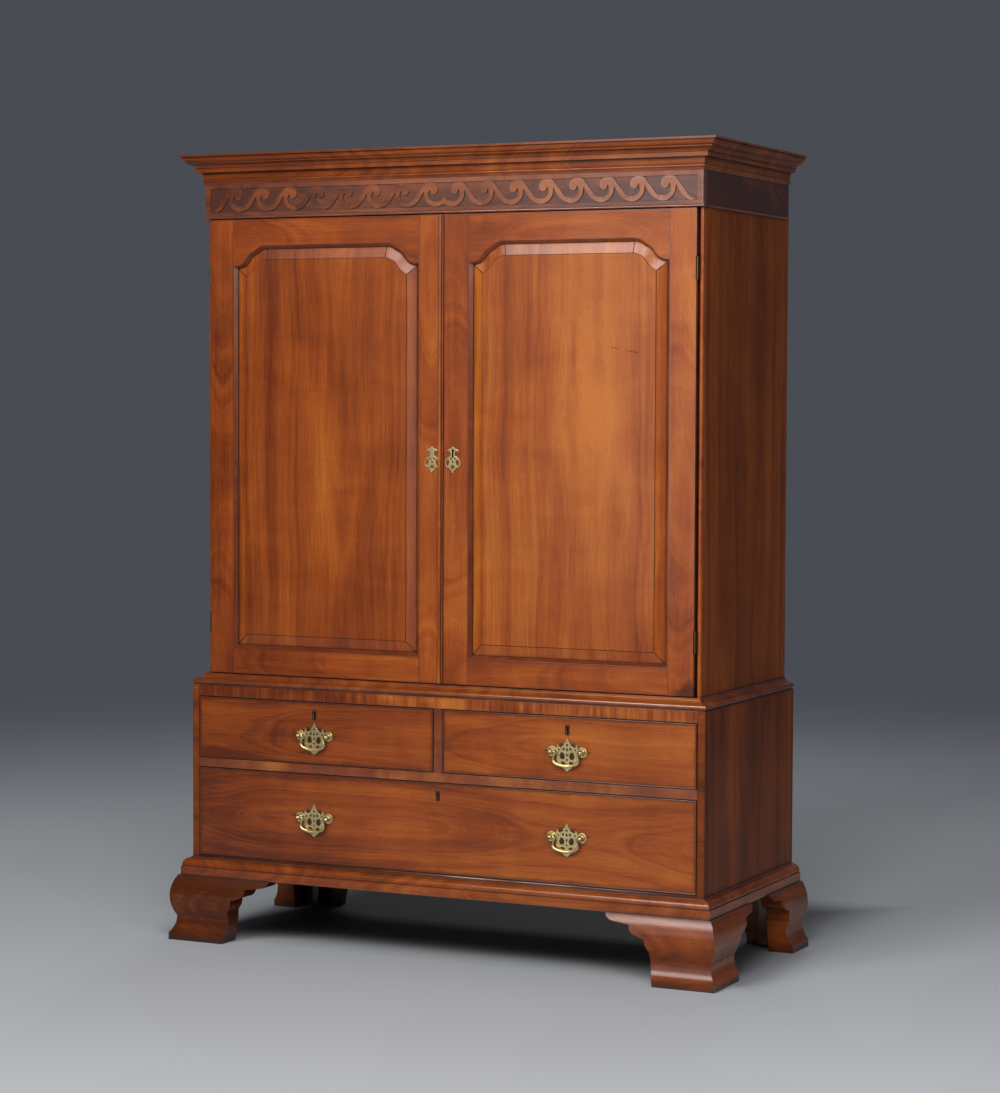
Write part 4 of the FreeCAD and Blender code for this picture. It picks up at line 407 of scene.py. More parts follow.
DARK = (0.095, 0.015, 0.002)
foot_mahogany = wood("foot mahogany", (0.06, 0.012, 0.002), (0.20, 0.040, 0.006),
                     (0.36, 0.09, 0.013), gloss=0.22, crevice=0.03, ends=0.5, reach=0.014)
for corner in ("front_left", "front_right", "back_left", "back_right"):
    fitted(f"bracket_foot_{corner}",
           planed(f"foot {corner}", f"foot_{corner}", along={2: "z"}), "cabinet",
           foot_mahogany, [f"foot_{corner}"], arris=0.0012, sharp=40)

# ------------------------------------------------------------------------------
# The base carcase: solid mahogany sides with cross-grained front edges, the rails between them,
# and the plinth moulding planted round its foot. Its bottom and back are pine, nailed on.

side_mahogany = wood(
    "side mahogany", (0.085, 0.017, 0.003), (0.195, 0.041, 0.0055), (0.32, 0.085, 0.012),
    heart=0.11, slope=0.02, bands=26.0, mottle=0.15, gloss=0.42, coat=0.0, shine=0.17, painted_light_share=0.0)
fitted("base_side_boards",
       planed("base sides", "base_sides", along="z", crossed=True), "cabinet",
       side_mahogany, ["base_sides"])

rail_mahogany = wood("rail mahogany", DARK, (0.255, 0.052, 0.006), (0.46, 0.14, 0.02),
                     bands=60.0, mottle=0.8, ends=0.35, reach=0.006, crevice=0.02)
fitted("base_rails", planed("front rails", "base_front_rails", along={0: "z"}), "cabinet",
       rail_mahogany, ["base_front_rails"])
fitted("divider_between_drawers", planed("divider", "drawer_divider", along={0: "z"}),
       "cabinet", rail_mahogany, ["drawer_divider"])

moulding_mahogany = wood("moulding mahogany", (0.07, 0.013, 0.003), (0.22, 0.044, 0.006),
                         (0.38, 0.10, 0.014), bands=80.0, gloss=0.20, crevice=0.022)
fitted("plinth", planed("plinth", "plinth_moulding"), "cabinet", moulding_mahogany,
       ["plinth_moulding"], arris=0.0009)

PINE = (0.21, 0.098, 0.034), (0.38, 0.205, 0.078), (0.54, 0.34, 0.15)
bare_pine = wood("bare pine", *PINE, heart=0.03, slope=0.03, bands=80.0, mottle=0.0,
                 gloss=0.66, coat=0.0, dirt_and_shade=0.55, crevice=0.03, ends=0.35, reach=0.02,
                 painted_light_share=0.0, grime_and_shade=(0.03, 0.018, 0.01))
for node in ("base_bottom_board", "base_top_board"):
    fitted(f"{node}_pine", planed(node, node), "cabinet", bare_pine, [node],
           arris=0.0008)

NAIL_RISE, BACK_WITHIN = 0.0006, 0.0001


def back_boards(node):
    """Upright pine boards, planed back so that their nails' heads stay within the carcase."""
    mesh = planed(node, node, along="z")
    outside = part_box(node)[1][1]
    for vertex in mesh.vertices:
        if vertex.co.y > outside - BACK_WITHIN:
            vertex.co.y -= NAIL_RISE
    fitted(f"{node}_pine", mesh, "cabinet", bare_pine, [node], arris=0.0008)


back_boards("base_back_boards")

# A thin mahogany lipping hides the pine bottom's edge below the long drawer.
LIPPING, LIPPING_HEIGHT = 0.0003, 0.008
low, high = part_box("base_bottom_board")
mesh = planed("sill lipping", "base_bottom_board")
for vertex in mesh.vertices:
    in_front = vertex.co.y < (low[1] + high[1]) / 2
    vertex.co.y = low[1] + (-LIPPING if in_front else LIPPING)
    vertex.co.z = max(vertex.co.z, high[2] - LIPPING_HEIGHT)
fitted("sill_lipping", mesh, "cabinet", rail_mahogany, arris=0)

OAK = (0.22, 0.108, 0.038), (0.40, 0.22, 0.085), (0.53, 0.33, 0.145)
bare_oak = wood("bare oak", *OAK, heart=0.20, slope=0.01, bands=110.0, mottle=0.0,
                gloss=0.62, coat=0.0, dirt_and_shade=0.5, crevice=0.02, ends=0.25, reach=0.012,
                painted_light_share=0.0, grime_and_shade=(0.035, 0.022, 0.011))
for node in ("base_dust_board", "drawer_runners"):
    fitted(f"{node}_oak", planed(node, node), "cabinet", bare_oak, [node])

# ------------------------------------------------------------------------------
# The three drawers: a mahogany front with cockbeads let in round it, and oak sides, back and
# bottom. The sides are dovetailed into the front. Old fittings left marks beside the handles.

# Each drawer, and how many tails tie a side to its front.
DRAWERS = {"drawer_left": 3, "drawer_right": 3, "drawer_long": 4}
BAIL_PIN = 0.0021
HANDLE_X = (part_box("drawer_right_bail")[0][0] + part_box("drawer_right_bail")[1][0]) / 2
SHORT_HANDLE_Z, LONG_HANDLE_Z = (
    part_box(node)[1][2] - BAIL_PIN for node in ("drawer_right_bail", "drawer_long_bail_right"))
MARK_REACH, MARK_LENGTH, MARK_HEIGHT = 0.057, 0.009, 0.0022
LONG_MARK_RISE = 0.004
PLATE_REACH, PLATE_EDGE = 0.017, 0.024
KEYHOLE_DROP = 0.026
BRUISE_DROP, BRUISE_WIDE, BRUISE_TALL = KEYHOLE_DROP + 0.0062, 0.0062, 0.0128


def marks_and_plate_shade(wire, place):
    """What age left on the drawer fronts, round their handles and keyholes, and painted shade
    under the plates.
    """
    x, _, z = wire.axes(place)
    centre = wire.do("ABSOLUTE", x)
    behind = wire.apart(centre, HANDLE_X)
    short = wire.apart(z, SHORT_HANDLE_Z)
    # Pointed dark marks on both sides of each handle, level with its posts.
    aside = wire.do("DIVIDE", wire.apart(behind, MARK_REACH), MARK_LENGTH)
    level = wire.do("MINIMUM", short, wire.apart(z, LONG_HANDLE_Z + LONG_MARK_RISE))
    level = wire.do("DIVIDE", level, MARK_HEIGHT)
    marks = wire.spread(wire.do("ADD", aside, level), 0.7, 1.15, 0.75, 0.0)
    # Wood bruised dark round each keyhole.
    for across, node in ((behind, "drawer_right_front"), (centre, "drawer_long_front")):
        up = wire.apart(z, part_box(node)[1][2] - BRUISE_DROP)
        hole = wire.do("MAXIMUM", wire.do("DIVIDE", across, BRUISE_WIDE),
                       wire.do("DIVIDE", up, BRUISE_TALL))
        marks = wire.do("MAXIMUM", marks, wire.spread(hole, 0.85, 1.15, 0.9, 0.0))
    # Painted shade under the plates, seen through their piercings, with old polish that the
    # brushes never reached.
    plate_shade_and_polish = wire.do("MINIMUM", short, wire.apart(z, LONG_HANDLE_Z))
    plate_shade_and_polish = wire.do("MAXIMUM", behind, plate_shade_and_polish)
    plate_shade_and_polish = wire.spread(plate_shade_and_polish, PLATE_REACH, PLATE_EDGE, 0.8, 0.0)
    return wire.do("MAXIMUM", marks, plate_shade_and_polish)


drawer_mahogany = wood(
    "drawer mahogany", (0.085, 0.014, 0.003), (0.25, 0.050, 0.006), (0.40, 0.110, 0.014),
    heart=0.03, slope=0.045, bands=55.0, mottle=0.16, gloss=0.28, ends=0.65, reach=0.013,
    crevice=0.02, painted_light_share=1.5, marks=marks_and_plate_shade)
# The cockbeads round each front are painted dark, as painted shade of the gap round the drawer.
for drawer in DRAWERS:
    fitted(f"{drawer}_front_board",
           planed(f"{drawer} front", f"{drawer}_front", tones={"rest": -1.1, 0: 0.1}), drawer,
           drawer_mahogany, [f"{drawer}_front"], arris=0.0005)
    fitted(f"{drawer}_box_oak", planed(f"{drawer} box", f"{drawer}_box"), drawer, bare_oak,
           [f"{drawer}_box"])

TAIL_DEPTH, TAIL_PROUD, TAIL_SUNK = 0.0115, 0.00015, 0.0003
TAIL_NECK, TAIL_END = 0.22, 0.36
TAIL_GRAIN, TAIL_SHIFT = 0.01, 1.7


def dovetails(drawer, count):
    """The tails of both sides, seen in the ends of the drawer's front."""
    low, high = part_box(f"{drawer}_front")
    side_low, side_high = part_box(f"{drawer}_box")
    joint = side_low[1]
    pitch = (side_high[2] - side_low[2]) / count
    corners = ((joint, TAIL_NECK), (joint - TAIL_DEPTH, TAIL_END),
               (joint - TAIL_DEPTH, -TAIL_END), (joint, -TAIL_NECK))
    whole = bmesh.new()
    *layers, _ = grain_layers(whole)
    for x, out in ((low[0], -1), (high[0], 1)):
        for index in range(count):
            middle = side_low[2] + pitch * (index + 0.5)
            rings = [[whole.verts.new((x + out * lift, y, middle + pitch * share))
                      for y, share in corners] for lift in (-TAIL_SUNK, TAIL_PROUD)]
            faces = [whole.faces.new(ring) for ring in rings]
            for i in range(4):
                faces.append(whole.faces.new(
                    (rings[0][i - 1], rings[0][i], rings[1][i], rings[1][i - 1])))
            for face in faces:
                for loop in face.loops:
                    _, y, z = loop.vert.co
                    for layer, value in zip(layers, (
                            (y - joint, z - middle, 0), (TAIL_GRAIN, pitch / 3, 0),
                            (index * TAIL_SHIFT, x, 0))):
                        loop[layer] = value
    fitted(f"{drawer}_dovetails", as_mesh(whole, f"{drawer} dovetails", outwards=True), drawer,
           bare_oak, arris=0)


for drawer, count in DRAWERS.items():
    dovetails(drawer, count)

# ------------------------------------------------------------------------------
# The waist moulding hides the joint between the two carcases. Above it stand the cupboard's
# solid sides, its top and bottom, and the beads planted on its front edges beside the doors.

fitted("waist", planed("waist", "waist_moulding"), "cabinet", moulding_mahogany,
       ["waist_moulding"], arris=0.0009)
SIDES = "left", "right"
for side in SIDES:
    fitted(f"cupboard_side_{side}", planed(f"upper side {side}", f"upper_side_{side}", along="z"),
           "cabinet", side_mahogany, [f"upper_side_{side}"])
for node in ("upper_top_board", "upper_bottom_board"):
    fitted(f"{node}_mahogany", planed(node, node), "cabinet", side_mahogany, [node])
# The edge beads are painted lighter than the other mahogany, as a painted highlight along them.
highlit_bead_mahogany = wood("bead mahogany with painted highlight", DARK, (0.31, 0.062, 0.008), (0.46, 0.13, 0.018),
                     bands=60.0, dirt_and_shade=0.4, crevice=0.006, ends=0.0)
fitted("edge_beads", planed("edge beads", "door_edge_beads"), "cabinet", highlit_bead_mahogany,
       ["door_edge_beads"])
back_boards("upper_back_boards")

# ------------------------------------------------------------------------------
# The sliding trays behind the doors: oak with a mahogany front that dips in the middle, each on
# a pair of oak runners screwed to the cupboard's sides.

tray_mahogany = wood("tray mahogany", (0.09, 0.02, 0.005), (0.24, 0.062, 0.013),
                     (0.40, 0.14, 0.03), gloss=0.4, coat=0.15)
fitted("tray_runners_oak", planed("tray runners", "tray_runners"), "cabinet", bare_oak,
       ["tray_runners"])
for number in range(1, 5):
    tray = f"tray_{number}"
    fitted(f"{tray}_front_board", planed(f"{tray} front", tray, only=(0,)), "cabinet",
           tray_mahogany, [tray], arris=0.0012)
    fitted(f"{tray}_box_oak", planed(f"{tray} box", tray, only=(1, 2, 3, 4)), "cabinet",
           bare_oak)

# ------------------------------------------------------------------------------
# The two doors. A frame of mortised stiles and rails carries an ovolo planted round its shaped
# opening, a bead covers the meeting edge, and a wide fielded panel lies behind.

PATINA_X, PATINA_Z, PATINA_REACH = 0.652, 0.694, 0.046


def dark_corner(wire, place):
    """A dark worn patch in the lowest corner of the right door."""
    x, _, z = wire.axes(place)
    aside, above = wire.apart(x, PATINA_X), wire.apart(z, PATINA_Z)
    near = wire.do("DIVIDE", wire.do("MULTIPLY_ADD", above, 1.3, aside), PATINA_REACH)
    broken = wire.noise(place, 60.0, 4.0, 0.6)
    return wire.spread(wire.do("MULTIPLY_ADD", broken, 0.8, near), 1.0, 1.5, 0.7, 0.0)


stile_mahogany = wood("stile mahogany", DARK, (0.265, 0.052, 0.006), (0.42, 0.115, 0.015),
                      heart=0.07, bands=44.0, mottle=0.2, gloss=0.29, ends=0.5, reach=0.006,
                      crevice=0.018, marks=dark_corner)
panel_mahogany = wood("panel mahogany", (0.11, 0.018, 0.003), (0.27, 0.056, 0.0065),
                      (0.43, 0.125, 0.017), heart=0.012, slope=0.045, aside=-0.05, bands=26.0,
                      mottle=0.2, gloss=0.28, crevice=0.008, reach=0.03, painted_light_share=0.9)
# The hinge stile, the top and low rails, the meeting stile and its bead; the rest is the ovolo.
# The ovolo is painted darker as painted shade round the opening, and the bead lighter as a painted
# highlight.
FRAME_TONES_AND_PAINTED_LIGHT = {0: 0.0, 1: 0.05, 2: -0.05, 7: 0.15, 8: 0.4, "rest": -0.45}
for side in SIDES:
    fitted(f"door_{side}_frame_boards",
           planed(f"door {side} frame", f"door_{side}_frame", tones=FRAME_TONES_AND_PAINTED_LIGHT),
           f"door_{side}", stile_mahogany, [f"door_{side}_frame"], arris=0.0006,
           sharp=30)
    # The right panel is painted a shade lighter than the left, as painted light where the light
    # falls more strongly.
    fitted(f"door_{side}_fielded_panel",
           planed(f"door {side} panel", f"door_{side}_panel",
                  tones={"rest": 0.0 if side == "left" else 0.25}), f"door_{side}",
           panel_mahogany, [f"door_{side}_panel"], arris=0.0005, sharp=8)

# The dark lines of painted shade where the bevels of a panel meet at its corners and shoulders and
# at the foot of its field, and two knife marks across the right door: where they start, their
# length and how far they tip.
OPENING_EDGE = 0.0093
BEVEL_START, BEVEL_END = 0.0097, 0.037
SHOULDER_START, SHOULDER_END = 0.0844, 0.060
HOLLOW_START, HOLLOW_END = 0.0484, 0.0425
BEVEL_Y, FIELD_Y = -0.2475, -0.2525
FIELD_FACE, FACE_WITHIN, FIELD_STEP = -0.2537, 0.0002, 0.0006
MITRE_WIDTH, STEP_WIDTH, KNIFE_WIDTH = 0.0018, 0.0010, 0.0011
KNIFE_MARKS = ((0.445, 1.512, 0.020, -0.004), (0.487, 1.504, 0.030, -0.006))
crease_shade_and_knife_line = wood("crease shade and knife line", (0.012, 0.003, 0.0015), (0.028, 0.007, 0.003),
                     (0.05, 0.014, 0.004), gloss=0.5, coat=0.0, dirt_and_shade=0.0, ends=0.0, painted_light_share=0.0)


def ribbon(whole, first, last, width, lift=0.0001, sunk=0.0003):
    """A thin dark line let into a face that looks to the front."""
    first, last = Vector(first), Vector(last)
    run = last - first
    side = Vector((-run.z, 0, run.x)).normalized() * (width / 2)
    outline = first - side, last - side, last + side, first + side
    upper, lower = ([whole.verts.new(corner + Vector((0, depth, 0))) for corner in outline]
                    for depth in (-lift, sunk))
    whole.faces.new(upper)
    whole.faces.new(lower)
    for i in range(4):
        whole.faces.new((upper[i - 1], upper[i], lower[i], lower[i - 1]))


def field_edges(side):
    """The edges where a panel's field steps up from its bevels, as pairs of points."""
    edges = []
    for triangles in solids_in(f"door_{side}_panel"):
        solid = welded(triangles)
        middle = sum((v.co for v in solid.verts), Vector()) / len(solid.verts)
        for edge in solid.edges:
            flat = [abs(face.calc_center_median().y - FIELD_FACE) < FACE_WITHIN
                    for face in edge.link_faces]
            if sorted(flat) == [False, True]:
                ends = [Vector((v.co.x, FIELD_Y, v.co.z)) for v in edge.verts]
                run = (ends[1] - ends[0]).normalized()
                out = Vector((-run.z, 0, run.x))
                if out.dot((ends[0] + ends[1]) / 2 - middle) < 0:
                    out.negate()
                edges.append([v + out * FIELD_STEP for v in ends])
        solid.free()
    return edges


def panel_lines(side):
    """The painted shade lines at one panel's corners and round its field, and its knife marks."""
    low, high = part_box(f"door_{side}_panel")
    left, right = low[0] + OPENING_EDGE, high[0] - OPENING_EDGE
    foot, top = low[2] + OPENING_EDGE, high[2] - OPENING_EDGE
    whole = bmesh.new()
    for edge, inwards in ((left, 1), (right, -1)):
        for (x0, z0), (x1, z1) in (
                ((BEVEL_START, foot + BEVEL_START), (BEVEL_END, foot + BEVEL_END)),
                ((BEVEL_START, top - BEVEL_START - HOLLOW_START),
                 (BEVEL_END, top - BEVEL_END - HOLLOW_END)),
                ((BEVEL_START + SHOULDER_START, top - BEVEL_START),
                 (BEVEL_END + SHOULDER_END, top - BEVEL_END))):
            ribbon(whole, (edge + inwards * x0, BEVEL_Y, z0),
                   (edge + inwards * x1, FIELD_Y, z1), MITRE_WIDTH)
    for edge in field_edges(side):
        ribbon(whole, *edge, STEP_WIDTH)
    if side == "right":
        for across, height, length, tip in KNIFE_MARKS:
            ribbon(whole, (across, FIELD_FACE, height),
                   (across + length, FIELD_FACE, height + tip), KNIFE_WIDTH)
    fitted(f"door_{side}_panel_lines", as_mesh(whole, f"door {side} lines", outwards=True),
           f"door_{side}", crease_shade_and_knife_line, arris=0)


for side in SIDES:
    panel_lines(side)

# ------------------------------------------------------------------------------
# The frieze: a running scroll of breaking waves, carved on a board whose ground is sunk behind
# it, between the doors and the cornice, which is mitred round the top from one long section.

SUNK_GROUND_Y, GROUND_WITHIN = -0.253, 0.0003
# The returns on the sides are painted darker than the front, as painted shade.
GROUND_TONE, RETURN_PAINTED_SHADE = -0.7, -1.2


def ground_tone(face):
    """The sunk ground is darker than the border and the scroll."""
    depth = abs(face.calc_center_median().y - SUNK_GROUND_Y)
    return GROUND_TONE if face.normal.y < FACES_FRONT and depth < GROUND_WITHIN else 0.0


frieze_mahogany = wood("frieze mahogany", (0.055, 0.012, 0.005), (0.17, 0.037, 0.008),
                       (0.29, 0.082, 0.017), bands=70.0, crevice=0.016, gloss=0.28, shine=0.5,
                       ends=0.0)
fitted("frieze",
       planed("frieze", "frieze_boards", face_tone=ground_tone,
              tones={"rest": 0.0, 1: RETURN_PAINTED_SHADE, 2: RETURN_PAINTED_SHADE}),
       "cabinet", frieze_mahogany, ["frieze_boards"])
scroll_mahogany = wood("scroll mahogany", (0.06, 0.012, 0.003), (0.20, 0.044, 0.007),
                       (0.30, 0.085, 0.017), bands=60.0, crevice=0.008, gloss=0.26, shine=0.6,
                       coat=0.2, ends=0.0, painted_light_share=1.6)
fitted("running_scroll", planed("scroll", "frieze_scroll", along="x"), "cabinet",
       scroll_mahogany, ["frieze_scroll"], arris=0.0011, steps=3, sharp=40)
fitted("cornice", planed("cornice", "cornice_moulding"), "cabinet", moulding_mahogany,
       ["cornice_moulding"])
fitted("cornice_top_pine", planed("cornice top", "cornice_top_board"), "cabinet", bare_pine,
       ["cornice_top_board"], arris=0.0008)

# ------------------------------------------------------------------------------
# The brass handles on the drawers: a pierced plate, two turned ball posts through it, and a
# crescent bail that hangs between the balls and is thickest in the middle.


def metal(name, bright, dull, gloss=0.24, grain=420.0):
    """An old metal, rubbed bright where it stands out and dull in its hollows."""
    material, wire, place = new_material(name)
    old = aged(wire, place, crevice=0.005, edge=1.0, reach=0.01)
    skin = wire.noise(place, grain, 4.0, 0.6)
    tarnish = wire.do("MULTIPLY_ADD", wire.spread(skin, 0.38, 0.72), 0.4,
                      wire.do("MULTIPLY", old["Dirt and Shade"], 0.9), clamp=True)
    wire.finish({
        "Base Color": wire.blend(tarnish, bright, dull), "Metallic": 1.0,
        "Roughness": wire.spread(tarnish, 0.0, 1.0, gloss, gloss + 0.3),
        "Normal": wire.bump(skin, 0.12, 0.0003)})
    return material


handle_brass = metal("handle brass", (0.80, 0.65, 0.31), (0.10, 0.065, 0.018))
liner_brass = metal("liner brass", (0.11, 0.08, 0.05), (0.03, 0.018, 0.01))
COCKBEAD = 0.002
DRAWER_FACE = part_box("drawer_right_front")[0][1] + COCKBEAD
POST_SPREAD, POST_AHEAD = 0.040, 0.0115
BALL, BALL_STEPS, BALL_START, BALL_TURN = 0.0074, 12, 212, 14.5
# How far ahead of the drawer's face, and how thick: a collar, a neck, a ball and its button.
POST_FOOT = [(0.0, 0.0068), (0.0024, 0.0070), (0.0032, 0.0056), (0.0038, 0.0040), (0.0046, 0.0040)]
POST_BUTTON = [(0.0188, 0.0030), (0.0197, 0.0022), (0.0200, 0.0)]


def cast(name, node, only=None):
    """The metal solids of a node as one mesh."""
    whole = bmesh.new()
    for number, triangles in enumerate(solids_in(node)):
        if only is None or number in only:
            solid = welded(triangles)
            copied = {v: whole.verts.new(v.co) for v in solid.verts}
            for face in solid.faces:
                whole.faces.new([copied[v] for v in face.verts])
            solid.free()
    return as_mesh(whole, name)


def turned_post(whole, x, z, sides=28):
    """Turn one ball post about an axis that points to the front."""
    profile = list(POST_FOOT)
    for step in range(1, BALL_STEPS + 1):
        angle = math.radians(BALL_START - step * BALL_TURN)
        ahead, radius = POST_AHEAD + BALL * math.cos(angle), BALL * abs(math.sin(angle))
        if ahead < POST_BUTTON[0][0]:
            profile.append((ahead, radius))
    profile += POST_BUTTON
    rings = []
    for ahead, radius in profile[:-1]:
        rings.append([whole.verts.new((
            x + radius * math.cos(2 * math.pi * i / sides), DRAWER_FACE - ahead,
            z + radius * math.sin(2 * math.pi * i / sides))) for i in range(sides)])
    tip = whole.verts.new((x, DRAWER_FACE - profile[-1][0], z))
    for near, far in zip(rings, rings[1:]):
        for i in range(sides):
            whole.faces.new((near[i - 1], near[i], far[i], far[i - 1]))
    for i in range(sides):
        whole.faces.new((rings[-1][i - 1], rings[-1][i], tip))


# Half of the bail, from the pin in the ball to the middle: aside, down, half its thickness.
BAIL_LINE = [
    (0.0335, 0.0, 0.0019), (0.0316, 0.0, 0.0019), (0.0298, -0.0012, 0.0021),
    (0.0293, -0.0060, 0.0019), (0.0306, -0.0110, 0.0019), (0.0327, -0.0155, 0.0021),
    (0.0337, -0.0205, 0.0026), (0.0318, -0.0255, 0.0032), (0.0270, -0.0292, 0.0037),
    (0.0205, -0.0312, 0.0033), (0.0110, -0.0340, 0.0037), (0.0, -0.0352, 0.0043)]
BAIL_FLATNESS, BAIL_FLAT_BELOW = 0.62, -0.004


def rod(name, kind, points, thick, fineness, **settings):
    """A round rod along points, each with its place and how far it swells there."""
    curve = bpy.data.curves.new(name, "CURVE")
    curve.dimensions = "3D"
    curve.bevel_depth = thick
    curve.bevel_resolution = fineness
    curve.use_fill_caps = True
    spline = curve.splines.new(kind)
    spline.points.add(len(points) - 1)
    for point, (place, swell) in zip(spline.points, points):
        point.co = (*place, 1)
        point.radius = swell
    for label, setting in settings.items():
        setattr(spline, label, setting)
    drawn = placed(name, curve)
    mesh = plain_mesh(drawn)
    bpy.data.objects.remove(drawn)
    return mesh


def bail(name, x, z):
    """One crescent bail, drawn as a line that swells and flattened from front to back."""
    other = [(-aside, down, thick) for aside, down, thick in reversed(BAIL_LINE[:-1])]
    mesh = rod(name, "NURBS", [((aside, 0, down), thick) for aside, down, thick
                               in BAIL_LINE + other],
               thick=1.0, fineness=4, order_u=4, use_endpoint_u=True, resolution_u=8)
    for vertex in mesh.vertices:
        flat = BAIL_FLATNESS if vertex.co.z < BAIL_FLAT_BELOW else 1.0
        vertex.co = (x + vertex.co.x, DRAWER_FACE - POST_AHEAD + vertex.co.y * flat,
                     z + vertex.co.z)
    return mesh


HANDLES = (("drawer_left", "drawer_left_handle", {"drawer_left_bail": (-1, SHORT_HANDLE_Z)}),
           ("drawer_right", "drawer_right_handle", {"drawer_right_bail": (1, SHORT_HANDLE_Z)}),
           ("drawer_long", "drawer_long_handles", {"drawer_long_bail_left": (-1, LONG_HANDLE_Z),
                                                   "drawer_long_bail_right": (1, LONG_HANDLE_Z)}))
PLATE_SOLIDS = 0, 3
for drawer, node, bails in HANDLES:
    fitted(f"{drawer}_handle_plates", cast(f"{drawer} plates", node, PLATE_SOLIDS), drawer,
           handle_brass, [node], arris=0.0005)
    whole = bmesh.new()
    for body, (side, height) in bails.items():
        for spread in (-POST_SPREAD, POST_SPREAD):
            turned_post(whole, side * HANDLE_X + spread, height)
        fitted(f"{body}_crescent", bail(body, side * HANDLE_X, height), body, handle_brass,
               [body], arris=0)
    fitted(f"{drawer}_handle_posts", as_mesh(whole, f"{drawer} posts", outwards=True), drawer,
           handle_brass, arris=0)

# ------------------------------------------------------------------------------
# Locks, keyholes and hinges: iron locks let in behind with their bolts, a brass liner pressed
# into each drawer's keyhole, pierced brass escutcheons pinned on the doors, and brass butts.

lock_iron = metal("lock iron", (0.17, 0.16, 0.15), (0.05, 0.03, 0.022), gloss=0.4, grain=160.0)
hinge_brass = metal("hinge brass", (0.14, 0.085, 0.035), (0.04, 0.022, 0.01), gloss=0.4)
# Each lock and bolt, and the body that it is on.
LOCKS = {"door_lock": "door_right", "door_lock_bolt": "door_lock_bolt"}
LOCKS.update({f"{drawer}_lock": drawer for drawer in DRAWERS})
LOCKS.update({f"{drawer}_lock_bolt": f"{drawer}_lock_bolt" for drawer in DRAWERS})
for node, body in LOCKS.items():
    fitted(f"{node}_iron", cast(node, node), body, lock_iron, [node], arris=0.0003)
for node, body in (("hinge_case_leaves", "cabinet"), ("door_left_hinge_leaves", "door_left"),
                   ("door_right_hinge_leaves", "door_right")):
    fitted(f"{node}_brass", cast(node, node), body, hinge_brass, [node], arris=0.0002)
for side in SIDES:
    node = f"door_{side}_escutcheon"
    fitted(f"{node}_brass", cast(node, node), f"door_{side}", handle_brass, [node],
           arris=0.0004)

KEYHOLE_HEAD, KEYHOLE_SLOT, KEYHOLE_LENGTH = 0.0034, 0.0022, 0.0166
LINER, HEAD_STEPS = 0.0013, 12


def keyhole_liner(drawer):
    """A thin brass rim round one drawer's keyhole."""
    low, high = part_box(f"{drawer}_front")
    x, z = (low[0] + high[0]) / 2, high[2] - KEYHOLE_DROP
    open_angle = math.asin(KEYHOLE_SLOT / KEYHOLE_HEAD)
    outline = [(-KEYHOLE_SLOT, -KEYHOLE_LENGTH), (KEYHOLE_SLOT, -KEYHOLE_LENGTH)]
    for step in range(HEAD_STEPS + 1):
        share = step / HEAD_STEPS
        angle = -math.pi / 2 + open_angle + (2 * math.pi - 2 * open_angle) * share
        outline.append((KEYHOLE_HEAD * math.cos(angle), KEYHOLE_HEAD * math.sin(angle)))
    mesh = rod(f"{drawer} liner", "POLY",
               [((x + aside, DRAWER_FACE, z + rise), 1.0) for aside, rise in outline],
               thick=LINER, fineness=1, use_cyclic_u=True)
    fitted(f"{drawer}_keyhole_liner", mesh, drawer, liner_brass, arris=0)


for drawer in DRAWERS:
    keyhole_liner(drawer)

# Pins, screws and nails are all small domed heads driven square to a face: radius and rise.
PIN, SCREW, NAIL = (0.0011, 0.0006), (0.0022, 0.0003), (0.0035, NAIL_RISE)
PIN_INSET = 0.0045
LEAF_MIDDLE, SCREW_INSET, SCREW_SPOTS = 0.027, 0.004, (-0.019, 0, 0.019)
NAILS_ACROSS, NAIL_ASIDE, NAIL_INSET = 18, 0.022, 0.02
heads = bpy.data.node_groups.new("driven heads", "GeometryNodeTree")
for label, kind in (("Geometry", "NodeSocketGeometry"), ("Head Radius", NUMBER),
                    ("Head Rise", NUMBER), ("Metal", "NodeSocketMaterial")):
    heads.interface.new_socket(name=label, in_out="INPUT", socket_type=kind)
heads.interface.new_socket(name="Geometry", in_out="OUTPUT", socket_type="NodeSocketGeometry")
wire = Wiring(heads)
start = heads.nodes.new("NodeGroupInput").outputs
dome = wire.lay("GeometryNodeMeshUVSphere", {"Segments": 10, "Rings": 6, "Radius": 1.0})
size = wire.lay("ShaderNodeCombineXYZ", {
    "X": start["Head Radius"], "Y": start["Head Radius"], "Z": start["Head Rise"]})
shaped = wire.lay("GeometryNodeTransform", {"Geometry": dome.outputs["Mesh"],
                                            "Scale": size.outputs[0]})
facing = wire.lay("GeometryNodeInputNamedAttribute", {"Name": "facing"},
                  data_type="FLOAT_VECTOR")
turned = wire.lay("FunctionNodeAlignRotationToVector", {"Vector": facing.outputs[0]}, axis="Z")
driven = wire.lay("GeometryNodeInstanceOnPoints", {
    "Points": start["Geometry"], "Instance": shaped.outputs[0], "Rotation": turned.outputs[0]})
real = wire.lay("GeometryNodeRealizeInstances", {"Geometry": driven.outputs[0]})
dressed = wire.lay("GeometryNodeSetMaterial", {"Geometry": real.outputs[0],
                                               "Material": start["Metal"]})
end = heads.nodes.new("NodeGroupOutput").inputs
heads.links.new(dressed.outputs[0], end["Geometry"])


def driven_in(name, body, spots, facing, head, material):
    """Heads of a given radius and rise, at spots on one face of one body."""
    mesh = bpy.data.meshes.new(name)
    mesh.from_pydata(spots, [], [])
    direction = mesh.attributes.new("facing", "FLOAT_VECTOR", "POINT")
    for item in direction.data:
        item.vector = facing
    piece = placed(name, mesh)
    driver = piece.modifiers.new("heads", "NODES")
    driver.node_group = heads
    sockets = {item.name: item.identifier for item in heads.interface.items_tree
               if item.in_out == "INPUT"}
    for label, value in zip(("Head Radius", "Head Rise", "Metal"), (*head, material)):
        driver[sockets[label]] = value
    finished(piece)
    for polygon in piece.data.polygons:
        polygon.use_smooth = True
    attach(piece, body)


